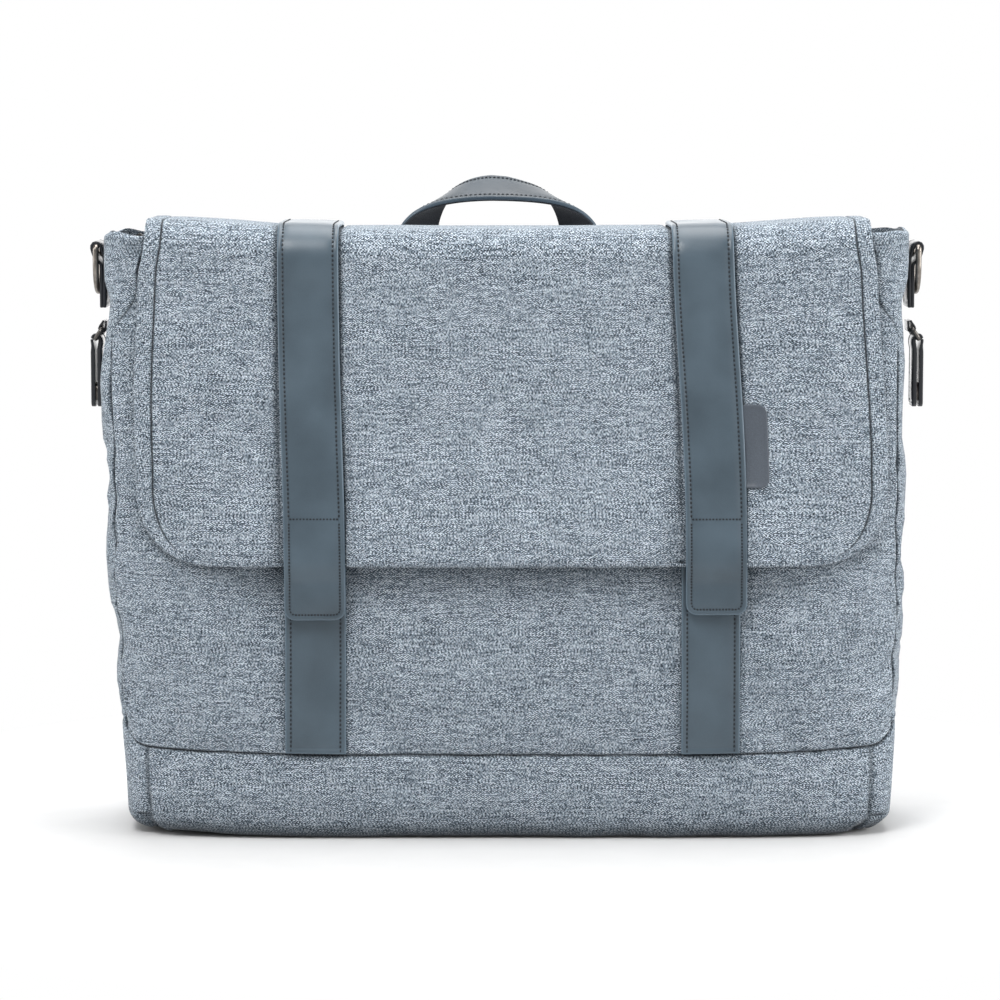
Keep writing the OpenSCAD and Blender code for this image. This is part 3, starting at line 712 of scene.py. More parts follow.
def gusset(name, side):
    """A side wall. Its top rises past the zip to a soft pillow."""
    angle, length = outline_length(150)
    z_share = stations(0, 1000, 12, fine=(0.5, 1.5, 3, 5, 8, 12, 18)) / 1000
    share_z, share_y = np.meshgrid(z_share, stations(-46, 46, 2.2) / 46, indexing="ij")
    top_z = GUSSET_Z + GUSSET_RISE[side] + 1.2 * np.cos(share_y * 4.2)
    top_z = top_z + GUSSET_HUMP[side] * bell(np.abs(share_y) - 0.70, 0.15)
    z = BAND_Z + (top_z - BAND_Z) * share_z
    limit_u = seam_share(z)
    limit = np.interp(np.arctan2(plan_fill(limit_u), limit_u), angle, length)
    along = share_y * limit
    theta = np.sign(along) * np.interp(np.abs(along), length, angle)
    theta = theta if side > 0 else math.pi - theta
    swell = panel_swell(sculpt(wall_at(theta, z, 0.0)), 1.0, 0.02, 2.4)
    from_side = limit - np.abs(along) + seam_hidden(z)
    from_seam = z - BAND_Z
    rim = np.minimum(from_side, from_seam)
    tuck = 0.8 * bell(np.abs(along) - 12, 5) * smooth(z, 60, 250)
    depth = swell - seam_fall(rim) - tuck - 0.8 * round_edge(top_z - z, 2.4)
    depth = depth + puckers(from_seam, along, 21) + puckers(from_side, z, 22 + side, 0.3)
    return shell(name, wall_at, theta, z, depth, (along, z), rim)


# The band's upright seams: their place, as a share of the half width, and how far they lean out
BAND_SEAM_U = 0.925
BAND_LEAN = {-1: 2.0, 1: 5.0}
BAND_CREASE_Z = 8.6
# Heights of the band's rows of points, closest round its crease and its top seam
BAND_ROWS = [0.4, 0.9, 1.8, 3.0, 4.5, 6.5, 7.2, 7.9, 8.6, 9.3, 10, 11, 12.5, 14.5, 17, 20, 24, 28, 32, 36,
             39, 41, 42.4, 43.4, 44.2, 44.7]


def base_band():
    """The band round the foot: front, back and side pieces joined at the corners, and gathered."""
    share, length = outline_length(30)
    along = np.linspace(0, length[-1], 640, endpoint=False)
    z, along_grid = np.meshgrid(BAND_ROWS + [BAND_Z], along, indexing="ij")
    theta = np.interp(along_grid, length, share)
    from_top = BAND_Z - z
    depth = puckers(from_top, along_grid, 31, 0.3) - seam_fall(from_top)
    depth = depth + 0.5 * lattice_noise(along_grid, z, 24, 32)
    from_corner = np.full(z.shape, FAR)
    crease = np.full(z.shape, FAR)
    low = 1 - smooth(z, 4, 30)
    for front, right in ((-1, -1), (-1, 1), (1, -1), (1, 1)):
        angle = math.atan2(front * plan_fill(BAND_SEAM_U), right * BAND_SEAM_U) % (2 * math.pi)
        outward = -front * right
        place = np.interp(angle, share, length) + outward * BAND_LEAN[right] * (1 - z / BAND_Z)
        offset = (along_grid - place + length[-1] / 2) % length[-1] - length[-1] / 2
        from_corner = np.minimum(from_corner, np.abs(offset))
        # The upright seam, deeper where the corner is gathered, with one piece lapping the other
        depth = depth - (1.1 + 1.5 * low) * bell(offset, 1.0 + 2.2 * low)
        depth = depth + 1.6 * low * (smooth(offset, -0.9, 0.9) - 0.5) * bell(offset, 7)
        depth = depth + 0.9 * low * np.sin(offset * 0.55 + z * 0.25) * bell(offset, 9)
        # The level crease round the corner's side
        beyond = smooth(outward * offset, -1, 1) * (1 - smooth(outward * offset, 7, 12))
        depth = depth - 1.9 * beyond * bell(z - BAND_CREASE_Z, 0.8)
        depth = depth - 0.9 * beyond * (1 - smooth(z, 7.6, 9.2))
        crease = np.minimum(crease, np.abs(z - BAND_CREASE_Z) + FAR * (beyond < 0.5))
    # The twill paints seam shade along this rim: the top seam, the corner seams and the creases
    rim = np.minimum(np.minimum(from_top, crease), np.maximum(from_corner - 0.8, 0))
    return shell("base_band", wall_at, theta, z, depth, (along_grid, z), rim, loop=True)


def plan_sheet(name, half_x, half_y, low, high, corner_lift=True):
    """A flat sheet with the bag's plan outline, such as its base."""
    rings = np.concatenate([np.linspace(0.02, 0.94, 24), [0.965, 0.985, 0.996, 1.0]])
    share, angle = np.meshgrid(rings, np.linspace(0, 2 * math.pi, 160, endpoint=False), indexing="ij")
    x, y = plan_outline(angle)
    x, y = x * share * half_x, y * share * half_y
    fall = round_edge((1 - share) * half_y, min(1.0, (high - low) / 2))
    faces = np.stack([x, y, high - fall], -1), np.stack([x, y, low + fall], -1)
    outer, inner = map(sculpt, faces) if corner_lift else faces
    return closed_sheet(name, outer, inner, (x, y), (1 - share) * half_y + 20, loop=True)


# ---- flap ----

FLAP_S = -wall_s(FLAP_Z)
CORNER_X = FLAP_HALF - FLAP_R
CORNER_S = FLAP_S + FLAP_R
STANDOFF = 10.0
STRAP_TIE = 0.72
TOP_NARROWING = 0.016
# Columns of the flap's cloth close to the straps' edges, from the straps' centre line
BESIDE_STRAP = (-22, -20.5, -19, -18, -17, -16, -15, -14, 12, 14, 15, 16, 17, 18, 19, 20, 21.5, 23)
LINING_LAP = 1.2


def standoff(x, s):
    """How far the flap's lower edge hangs clear of the front wall, between its corners."""
    low = (1 - smooth(s, FLAP_S - 5, FLAP_S + 80)) * smooth(s, FLAP_S - 9, FLAP_S + 3)
    tied = 1 - STRAP_TIE * (1 - smooth(np.abs(np.abs(x) - STRAP_X), 17, 27))
    return STANDOFF * low * tied * (1 - smooth(np.abs(x), 118, 176))


def flap_flare(x, s):
    """How far the flap's sides spread past the straps: more to the right, and more lower down."""
    fold_open, hang = smooth(-s, 38, 60), smooth(-s, 160, 225)
    left = 0.2 - 2.5 * fold_open - 2.1 * hang
    right = 1.4 + 2.5 * fold_open + 1.7 * smooth(-s, 60, 160) + 2.1 * hang
    return left * smooth(-x, 125, 185) + right * smooth(x, 125, 185)


def flap_skew(s):
    """The flap hangs slightly to the right."""
    return 1.6 * smooth(-np.asarray(s, float), 40, 190)


def flap_point(x, s, depth):
    """A point of the flap. Its layers are stacked without spreading sideways at the corners."""
    x, s = np.broadcast_arrays(np.asarray(x, float), np.asarray(s, float))
    x = x * (1 - TOP_NARROWING * (1 - smooth(-s, 30, 150))) + flap_skew(s) + flap_flare(x, s)
    normal = normal_of(fold, x, s, 0.05, 0.05)
    normal[..., 0] = 0
    return sculpt(fold(x, s) + unit(normal) * np.asarray(depth + standoff(x, s))[..., None])


def strap_lean(side, s):
    """Sideways place of a flap strap's centre at station s: both lean to the right going down."""
    top, low = (-2.6, 1.6) if side < 0 else (0.2, 4.0)
    return side * STRAP_X + top + (low - top) * smooth(-np.asarray(s, float), 10, 215)


def flap_rows(s_from, s_to, corner, spacing, steps, lap=0.0):
    """Stations of the flap and the half width inside its binding at each, with its rounded lower
    end where corner is true. lap is how far the sheet runs on under the binding."""
    s = stations(s_from, s_to, spacing, both=(False, False))
    half = np.full(s.shape, FLAP_HALF - BINDING_W + lap)
    if corner:
        turn = np.linspace(math.pi / 2, 0, steps)[:-1]
        s = np.concatenate([CORNER_S - (FLAP_R - HEM_W + lap) * np.sin(turn), s])
        half = np.concatenate([CORNER_X + (FLAP_R - BINDING_W + lap) * np.cos(turn), half])
    return s[:, None], half[:, None]


def flap_cloth(name, s_from, s_to, corner):
    """The flap's main cloth between two stations of the fold."""
    s, half = flap_rows(s_from, s_to, corner, 3.0, 26)
    near = (STRAP_X + np.array(BESIDE_STRAP)) / (FLAP_HALF - BINDING_W)
    share = stations(-1, 1, 0.016, fine=np.array((0.2, 0.5, 0.9, 1.5, 2.4, 4.0)) / FLAP_HALF)
    share = np.unique(np.concatenate([share, near, -near]).round(6))
    x, s = share * half, s + 0 * share
    from_seam = (1 - np.abs(share)) * half
    fade = smooth(s, FLAP_S + 4, FLAP_S + 26)
    depth = FLAP[1] - fade * (round_edge(from_seam, 1.3) + 0.25 * np.exp(-from_seam / 3))
    depth = depth + 0.25 * lattice_noise(x, s, 30, 41) + puckers(from_seam, s, 42, 0.12)
    from_strap = [np.abs(x - strap_lean(side, s) + flap_skew(s)) - STRAP_W / 2 - 0.3 for side in (-1, 1)]
    beside = np.minimum(*np.abs(from_strap))
    depth = depth - 1.3 * bell(beside, 1.6)
    # The twill paints seam shade along this rim: the flap's seams and beside the straps
    rim = np.minimum(from_seam + 3 * (1 - fade), beside)
    return closed_sheet(name, flap_point(x, s, depth), flap_point(x, s, FLAP[0]), (x, s), rim)


def flap_lining(name, s_from, s_to, corner):
    s, half = flap_rows(s_from, s_to, corner, 4.0, 16, LINING_LAP)
    x = np.linspace(-1, 1, 90) * half
    outer = flap_point(x, s + 0 * x, FLAP[0] - 0.1)
    inner = flap_point(x, s + 0 * x, LINING_UNDER_FLAP - 0.25)
    return closed_sheet(name, outer, inner, (x, s), 20.0)


def flap_outline(s_from, s_to, corner):
    """The flap's edge as (x, s), and the seam's point beside each: for a plain stretch, its right
    side only; with corner, all round from the left side to the right."""
    straight = stations(s_from, s_to, 3.0, both=(False, False))[::-1]
    down = np.stack([np.full(straight.shape, FLAP_HALF), straight], -1)
    if not corner:
        return down, down - [BINDING_W, 0]
    turn = np.linspace(0, math.pi / 2, 30)[1:-1, None]
    arc = np.concatenate([np.cos(turn), -np.sin(turn)], 1)
    centre = np.array([CORNER_X, CORNER_S])
    bottom = np.stack(np.broadcast_arrays(np.linspace(CORNER_X, -CORNER_X, 110), FLAP_S), -1)
    edge = np.concatenate([down, centre + FLAP_R * arc])
    seam = np.concatenate([down - [BINDING_W, 0], centre + arc * [FLAP_R - BINDING_W, FLAP_R - HEM_W]])
    mirror = np.array([-1, 1])
    edge = np.concatenate([edge, bottom, edge[::-1] * mirror])
    seam = np.concatenate([seam, bottom + [0, HEM_W], seam[::-1] * mirror])
    return edge[::-1], seam[::-1]


def flap_binding(name, s_from, s_to, corner, side=1):
    """The folded edge of the flap, from its seam round the edge and back underneath."""
    edge, seam = flap_outline(s_from, s_to, corner)
    if side < 0:
        edge, seam = (edge * [-1, 1])[::-1], (seam * [-1, 1])[::-1]
    width = np.linalg.norm(edge - seam, axis=1)
    top, low = FLAP[1] + 0.15, LINING_UNDER_FLAP
    at_seam = smooth(width, HEM_W, BINDING_W * 0.8)
    # The profile, as distances from the seam and depths
    profile = [(np.minimum(w, width * 0.3), top - drop * at_seam)
               for w, drop in ((0, 1.25), (0.25, 0.7), (0.7, 0.22), (1.4, 0.05))]
    profile += [(width * 0.35, top), (width * 0.6, top)]
    profile += [(width - back, top - drop) for back, drop in ((0.9, 0.1), (0.4, 0.4), (0.1, 0.9), (0, 1.4))]
    profile += [(width - back, low + lift) for back, lift in ((0.1, 0.9), (0.4, 0.35), (1.0, 0))]
    profile += [(0 * width, low)]
    from_seam, depth = (np.stack(np.broadcast_arrays(*column)) for column in zip(*profile))
    across = np.cumsum(np.hypot(np.diff(from_seam, axis=0, prepend=from_seam[:1]),
                                np.diff(depth, axis=0, prepend=depth[:1])), axis=0)
    along = path_length(edge)
    depth = depth + 0.2 * lattice_noise(along, along * 0, 9, 51) * (depth > FLAP[0] + 1)
    place = seam + from_seam[..., None] * ((edge - seam) / width[:, None])
    points = flap_point(place[..., 0], place[..., 1], depth)
    uv = np.stack(np.broadcast_arrays(along, across), -1)
    rim = from_seam + 4 * (1 - at_seam)
    return new_object(name, points.swapaxes(0, 1), tube_faces(len(edge), len(profile)),
                      uv.swapaxes(0, 1).reshape(-1, 2), rim.T.ravel())


# ---- ribbons: every leatherette strap, tab and loop ----

class Ribbon:
    """A strap that follows a path: centre points, unit vectors across it and out of its face."""

    def __init__(self, centre, across, face):
        self.centre, self.across, self.face = centre, unit(across), unit(face)
        self.along = path_length(centre)
        self.length = self.along[-1]

    def follow(self, b, grid):
        return np.stack([np.interp(b, self.along, column) for column in grid.T], -1)

    def at(self, a, b, h):
        a, h = np.asarray(a)[..., None], np.asarray(h)[..., None]
        return self.follow(b, self.centre) + self.follow(b, self.across) * a + self.follow(b, self.face) * h

    def turned(self, sink=0.0, mirror=1):
        """The same path with its face on the other side."""
        return Ribbon(self.centre - sink * self.face, mirror * self.across, -self.face)


FINE_ACROSS = (0.08, 0.25, 0.5, 0.9, 1.4, 1.8, 2.2, 2.6, 3.1, 4.0)


def strap_mesh(name, ribbon, width, thick, ends=(None, None), groove=STITCH_INSET, crown=0.25,
               spacing=3.0, edge_r=0.7, deep=None):
    """A padded strap along a ribbon. An end is None where the strap runs on, or its corner radius.
    deep is the thickness past the strap's first few millimetres, if that differs."""
    half = width / 2
    a_at = stations(-half, half, 2.2, fine=[f for f in FINE_ACROSS if f < half * 0.7])
    b_at = stations(0, ribbon.length, spacing, both=[end is not None for end in ends],
                    fine=[f for f in FINE_ACROSS + (5.0, 6.2) if f < ribbon.length * 0.4])
    b, share = np.meshgrid(b_at, a_at / half, indexing="ij")
    closed = [(from_end, r) for from_end, r in zip((b, ribbon.length - b), ends) if r is not None]
    half_at, end_distance = np.full(b.shape, half), np.full(b.shape, 1e3)
    for from_end, r in closed:
        inside = np.clip(r - from_end, 0, r)
        half_at = np.minimum(half_at, half - r + np.sqrt(r ** 2 - inside ** 2))
        end_distance = np.minimum(end_distance, from_end)
    a = share * half_at
    d = np.minimum(half_at - np.abs(a), end_distance)
    for from_end, r in closed:
        da, db = np.abs(a) - (half - r), r - from_end
        d = np.where((da > 0) & (db > 0), np.minimum(d, r - np.hypot(da, db)), d)
    d = np.maximum(d, 0)
    top = thick + ((deep or thick) - thick) * smooth(b, 2, 7) - round_edge(d, edge_r)
    if groove:
        top = top - 0.32 * bell(d - groove, 0.45) + 0.14 * bell(d - groove * 0.5, 0.6)
        top = top + crown * smooth(d, groove + 0.4, groove + 5)
    under = np.minimum(round_edge(d, edge_r * 0.6), thick * 0.4)
    return closed_sheet(name, ribbon.at(a, b, top), ribbon.at(a, b, under), (a, b), d)


# A stitch, from end to end: its place, thickness and height off the strap
STITCH_PLACES = np.array([0, 0.12, 0.5, 0.88, 1.0])
STITCH_SWELL = np.array([0.25, 0.85, 1.0, 0.85, 0.25])
STITCH_SINK = np.array([-0.30, 0.0, 0.12, 0.0, -0.30])
STITCH_GAP = 0.16
STITCH_SIDES = 6


def stitch_mesh(name, ribbon, path, height, radius=0.50, pitch=STITCH_PITCH):
    """Stitches along a path of (a, b) points on a ribbon, each a small tapered bead of thread."""
    points, faces = [], []
    for line in path:
        line = np.asarray(line, float)
        length = path_length(line)
        count = max(1, int(length[-1] / pitch))
        for i in range(count):
            at = (i + STITCH_GAP + (1 - 2 * STITCH_GAP) * STITCH_PLACES) * length[-1] / count
            a, b = (np.interp(at, length, column) for column in line.T)
            centre = ribbon.at(a, b, height + STITCH_SINK)
            face = unit(ribbon.at(a, b, height + 1.0) - ribbon.at(a, b, height))
            across = unit(np.cross(unit(np.gradient(centre, axis=0)), face))
            bead, bead_faces = tube(centre, across, face, radius * STITCH_SWELL, STITCH_SIDES)
            first = len(points) * len(STITCH_PLACES) * STITCH_SIDES
            points.append(bead.reshape(-1, 3))
            faces += [tuple(first + corner for corner in bead_face) for bead_face in bead_faces]
    return new_object(name, np.concatenate(points), faces)


def edge_path(width, b0, b1, inset=STITCH_INSET, end_r=None):
    """Stitch path along both edges of a strap and, with end_r, round its far end."""
    a = width / 2 - inset
    if end_r is None:
        return [[(-a, b0), (-a, b1)], [(a, b0), (a, b1)]]
    r = max(end_r - inset, 0.5)
    turn = np.linspace(0, math.pi / 2, 7)
    right = [(a - r + r * math.cos(t), b1 - inset - r + r * math.sin(t)) for t in turn]
    return [[(a, b0)] + right + [(-p[0], p[1]) for p in reversed(right)] + [(-a, b0)]]


def sewn_strap(name, word, ribbon, size, ends, rides, lines, level, material=DARK_LEATHER,
               radius=0.50, pitch=STITCH_PITCH, nodes=None, thread_rides=None, **shape):
    """A strap of the given width and thickness, and the stitches that run along it."""
    replaced = [node + word for node in nodes or (name,)]
    finish_piece(strap_mesh(name + word, ribbon, *size, ends, **shape), material, rides, *replaced)
    thread = stitch_mesh(name + "thread_" + word, ribbon, lines, level, radius, pitch)
    finish_piece(thread, THREAD, thread_rides or rides)


def fold_ribbon(x_of, s, depth, place):
    """A ribbon along the fold. place gives a point from x, s and depth: flap_point on the flap."""
    x = x_of(s)
    centre = place(x, s, depth)
    across = place(x + 1.0, s, depth) - centre
    face = np.cross(across, np.gradient(centre, axis=0))
    outward = place(x, s, depth + 1.0) - centre
    return Ribbon(centre, across, face * np.sign((face * outward).sum(-1, keepdims=True)))


def bag_point(x, s, depth):
    return sculpt(fold_at(x, s, depth))


def flap_strap(side, word):
    """A strap over the flap, in three parts: past the flap's hinge, over its crease, and the tip."""
    thick = STRAP[1] - STRAP[0]
    tip_s = -wall_s(TIP_HI[2])
    end_s = -wall_s(TIP_LO[2]) + (-2.0 if side < 0 else 0.8)
    back, main, tip = (fold_ribbon(lambda s: strap_lean(side, s), np.linspace(*span), STRAP[0], flap_point)
                       for span in ((ANCHOR_S, 0, 60), (0, tip_s, 140), (tip_s, end_s, 60)))
    peel = ("flap_front", "strap_tip_" + word, (0, 0, TIP_HI[2] - 0.5), (0, 0, TIP_HI[2] - 12))
    level = thick - 0.25
    for name, ribbon, ends, spacing, rides, nodes, lines, pitch in (
            ("strap_back_", back, (1.0, None), 1.5, LIFT, ("strap_anchor_",),
             edge_path(STRAP_W, 1, back.length), STITCH_PITCH),
            ("strap_main_", main, (None, None), 2.0, CREASE, ("strap_top_", "strap_front_"),
             edge_path(STRAP_W, 0, main.length), STITCH_PITCH),
            ("strap_tip_", tip, (None, TIP_R), 2.0, peel, None,
             edge_path(STRAP_W, 2.5, tip.length, end_r=TIP_R), TIP_PITCH)):
        sewn_strap(name, word, ribbon, (STRAP_W, thick), ends, rides, lines, level, LEATHER, pitch=pitch,
                   nodes=nodes, spacing=spacing)
    a = STRAP_W / 2 - STITCH_INSET
    cross = stitch_mesh("strap_cross_thread_" + word, tip, [[(-a, 0.6), (a, 0.6)]], level + 0.35,
                        pitch=TIP_PITCH)
    finish_piece(cross, THREAD, "flap_front")


def lower_strap(side, word):
    """The strap on the front panel, under the tip. It sits and measures a little off its partner."""
    lo, hi = node_box("lower_strap_" + word)
    shift, width = (3.2, STRAP_W - 0.2) if side < 0 else (3.0, STRAP_W - 1.4)
    s_at = np.linspace(-wall_s(hi[2]), -wall_s(lo[2] + 0.5), 70)
    ribbon = fold_ribbon(lambda s: side * STRAP_X + shift + 0 * s, s_at, UNDER_STRAP[0], bag_point)
    thick = UNDER_STRAP[1] - UNDER_STRAP[0]
    sewn_strap("lower_strap_", word, ribbon, (width, thick), (1.0, 0.3), "bag",
               edge_path(width, 1, ribbon.length - 0.5), thick - 0.25, LEATHER)


# ---- label ----

LABEL_R = 5.0


def side_label():
    """A small rubber tag with a raised rim, rounded on its free side and tucked beside a strap."""
    lo, hi = node_box("side_label")
    width, height = hi[0] - lo[0], hi[2] - lo[2]
    x_at = stations(0, width, 0.8, fine=(0.15, 0.35, 0.6, 0.9, 1.3), both=(False, True))
    z_at = stations(0, height, 1.5, fine=(0.15, 0.35, 0.6, 0.9, 1.3, 2.0))
    z, share = np.meshgrid(z_at, x_at / width, indexing="ij")
    from_end = np.minimum(z, height - z)
    dz = LABEL_R - from_end
    reach = width - LABEL_R + np.sqrt(LABEL_R ** 2 - np.maximum(dz, 0) ** 2)
    x = share * reach
    dx = x - (width - LABEL_R)
    d = np.minimum(reach - x, from_end)
    d = np.where((dx > 0) & (dz > 0), LABEL_R - np.hypot(dx, dz), d)
    top = 1.0 - round_edge(d, 0.5) - 0.28 * smooth(d, 1.1, 1.7) + 0.16 * bell(d - 2.6, 0.35)
    s = -wall_s(lo[2] - 1.5 + z)
    place = strap_lean(1, s) - flap_skew(s) + STRAP_W / 2 + 0.2 + x
    outer = flap_point(place, s, FLAP[1] + 0.2 + top)
    return closed_sheet("side_label", outer, flap_point(place, s, FLAP[1] + 0.1), (x, z), d)


# ---- handle ----

HANDLE_LO, HANDLE_HI = node_box("handle_strap")
HANDLE_X = (HANDLE_LO[0] + HANDLE_HI[0]) / 2
HANDLE_Y, HANDLE_FOOT_Z = HANDLE_LO[1:]
HANDLE_LOW_Z = node_box("handle_ends")[0][2]
HANDLE_W = 26
HANDLE_T = 2.2
HANDLE_SPACING = 89
CREST_HALF = 4.0
MIRROR = np.array([-1, 1, 1])


def bezier(p, t):
    p, t = np.asarray(p, float), np.asarray(t)[:, None]
    return (1 - t) ** 3 * p[0] + 3 * t * (1 - t) ** 2 * p[1] + 3 * t ** 2 * (1 - t) * p[2] + t ** 3 * p[3]


def arch(points):
    """One edge of the grip: a curve up from the left foot, a level crest, and its mirror image."""
    rise = bezier(points, np.linspace(0, 1, 70))
    rise[:, 0] = np.minimum(rise[:, 0], 0)
    level = np.linspace(-CREST_HALF, CREST_HALF, 9)[1:-1, None] * [[1, 0, 0]]
    return np.concatenate([rise, rise[-1] * [0, 1, 1] + level, rise[::-1] * MIRROR])


def handle_ribbon():
    """The carry handle's strap, from its sewn end on the back wall up over the grip and down
    again. It turns like a ribbon: the edge that's outermost at the foot is the grip's front one."""
    out, hold = (HANDLE_SPACING + HANDLE_W) / 2, (HANDLE_SPACING - HANDLE_W) / 2
    y, foot_z, top = HANDLE_Y + 0.4, HANDLE_FOOT_Z, HANDLE_HI[2] - 1.2
    front = arch([(-out + 1, y, foot_z), (-out + 1, y + 3, top - 20), (-out + 17, y + 1, top - 14.6),
                  (-CREST_HALF, y + 1, top - 14.6)])
    back = arch([(-hold - 2, y, foot_z), (-hold - 10, y + 22, top - 32), (-hold - 1, y + 24, top - 5),
                 (-CREST_HALF, y + 25, top)])
    back[:, 2] -= 2.4 * bell(back[:, 0], 24) + 1.8 * bell(back[:, 0] - 13, 13)
    middle = (front + back) / 2
    low = np.linspace(HANDLE_LOW_Z, foot_z - 1.5, 14)
    sewn = fold_at(-HANDLE_SPACING / 2 - 1.0, wall_s(low), 1.0)
    sewn[:, 1] += (middle[0, 1] - sewn[-1, 1]) * smooth(low, HANDLE_LOW_Z + 8, foot_z - 1.5)
    middle = np.concatenate([sewn, middle, sewn[::-1] * MIRROR]) + [HANDLE_X, 0, 0]
    level = np.tile([[1.0, 0, 0]], (len(low), 1))
    across = np.concatenate([level, back - front, -level])
    return Ribbon(middle, across, np.cross(np.gradient(middle, axis=0), across))


def handle():
    """The handle's leatherette strap, its lining, and the stitches, with a box at each sewn end."""
    grip = handle_ribbon()
    bends = ("bag", "handle", (0, HANDLE_Y, HANDLE_FOOT_Z - 2), (0, HANDLE_Y, HANDLE_FOOT_Z + 8))
    finish_piece(strap_mesh("handle_strap", grip, HANDLE_W, HANDLE_T, (0.8, 0.8), spacing=1.2, crown=0.35),
                 SHADED_HANDLE_LEATHER, bends, "handle_strap", "handle_ends")
    under = strap_mesh("handle_lining", grip.turned(sink=0.1, mirror=-1), HANDLE_W - 0.8, 0.8, (0.5, 0.5),
                       groove=0, crown=0, spacing=1.5, edge_r=0.3)
    finish_piece(under, DARK_TAPE, bends, "handle_backing", slot="handle_lining")
    a, top = HANDLE_W / 2 - STITCH_INSET, HANDLE_FOOT_Z - HANDLE_LOW_Z - 2
    box = [[(-a, 2.2), (a, 2.2)], [(-a, top), (a, top)]]
    box += [[(-k * a, 2.6), (k * a, top - 0.6)] for k in (1, -1)]
    path = edge_path(HANDLE_W, 2.2, grip.length - 2.2) + box
    path += [[(a, grip.length - b) for a, b in line] for line in box]
    finish_piece(stitch_mesh("handle_thread", grip, path, HANDLE_T - 0.12), THREAD, bends)


# ---- side fittings ----

def side_ribbon(side, path):
    """A strap seen edge-on: path is (x, z) points of its inner face, on the right-hand side."""
    path = np.asarray(path, float)
    length = path_length(path)
    at = np.linspace(0, length[-1], max(12, int(length[-1] / 0.5)))
    x, z = (np.interp(at, length, column) for column in path.T)
    for line in (x, z, x, z, x, z):
        line[1:-1] = (line[:-2] + 2 * line[1:-1] + line[2:]) / 4
    centre = np.stack([side * x, 0 * x, z], -1)
    across = np.tile([[0.0, side, 0.0]], (len(x), 1))
    return Ribbon(centre, across, np.cross(across, np.gradient(centre, axis=0)))


def bend(cx, cz, r, start, stop):
    """Points of an arc: angles in degrees, 0 at +X and 90 at +Z."""
    angle = np.radians(np.linspace(start, stop, 24))
    return [(cx + r * math.cos(a), cz + r * math.sin(a)) for a in angle]


def ring_tab(side, word):
    """The folded tab that holds a shoulder-strap ring."""
    lo, hi = node_box("ring_tab_right")
    thick, r, width = 1.6, 1.75, hi[1] - lo[1]
    tail_x, ring_x, ring_z = lo[0] + thick, hi[0] - r - thick, hi[2] - r - thick
    path = [(tail_x, lo[2] + 0.6), (tail_x, ring_z - 9), (ring_x + 0.5, ring_z - 4.5)]
    path += bend(ring_x, ring_z, r, -20, 190) + [(tail_x - 0.1, ring_z - 6), (tail_x - 0.1, lo[2] + 0.6)]
    a = width / 2 - 2.2
    lines = [[(a, 13), (a, 2.2), (-a, 2.2), (-a, 13)], [(-a, 14.5), (a, 14.5)]]
    sewn_strap("ring_tab_", word, side_ribbon(side, path), (width, thick), (0.8, 0.8), "bag", lines,
               thick - 0.2, radius=0.28, pitch=2.6, spacing=1.0, edge_r=0.5, crown=0.05)


def hanger_keeper(side, word):
    """The short tab that holds a stroller hanger's ring."""
    lo, hi = node_box("hanger_keeper_right")
    thick, r = 1.2, 1.35
    wire_x, wire_z, tail_x, tail_top = lo[0] + r + thick, lo[2] + r + thick, lo[0] + thick, hi[2] - 5.5
    path = [(tail_x + 0.1, tail_top), (tail_x + 0.1, wire_z + 4)] + bend(wire_x, wire_z, r, 30, -210)
    path += [(tail_x, wire_z + 4), (tail_x, tail_top)]
    keeper = side_ribbon(side, path).turned()
    finish_piece(strap_mesh("hanger_keeper_" + word, keeper, hi[1] - lo[1], thick, (0.6, 0.6), groove=0,
                            spacing=1.0, edge_r=0.4), DARK_LEATHER, "bag", "hanger_keeper_" + word)


def hanger(side, word):
    """A stroller hanger: a strap round its ring, and the leaf that snaps onto it."""
    lo, hi = node_box("hanger_strap_right")
    leaf_lo, leaf_hi = node_box("hanger_leaf_right")
    thick, wire_r, body, width = 1.5, 1.35, 2.3, hi[1] - lo[1]
    bar_x, bar_z = lo[0] + wire_r + thick, hi[2] - wire_r - thick
    inside = bar_x - wire_r + body - thick
    path = bend(bar_x, bar_z, wire_r, -10, 180)
    path += [(bar_x - wire_r, bar_z - 1.5), (inside, bar_z - 6), (inside, lo[2] + 0.3)]
    strap = side_ribbon(side, path)
    inside, start = leaf_lo[0] - (body - thick), leaf_lo[0] + 0.05
    path = [(start, bar_z - 0.3), (start, bar_z - 1.5), (inside, bar_z - 6), (inside, leaf_lo[2] + 0.3)]
    leaf = side_ribbon(side, path).turned()
    wrap = ("hanger_" + word, "hanger_leaf_" + word, (0, 0, leaf_hi[2] + 2.0), (0, 0, leaf_hi[2] - 3.0))
    for name, ribbon, crown, first, rides, thread_rides in (
            ("hanger_strap_", strap, 0.10, strap.length - 26, "hanger_" + word, None),
            ("hanger_leaf_", leaf, 0.15, 8, wrap, "hanger_leaf_" + word)):
        lines = edge_path(width, first, ribbon.length, 1.9, end_r=3.5)
        sewn_strap(name, word, ribbon, (width, thick), (0.6, 3.0), rides, lines, body - 0.15, radius=0.26,
                   pitch=2.4, thread_rides=thread_rides, spacing=1.0, edge_r=0.5, crown=crown, deep=body)


# ---- inside: lining, pockets and zip ----

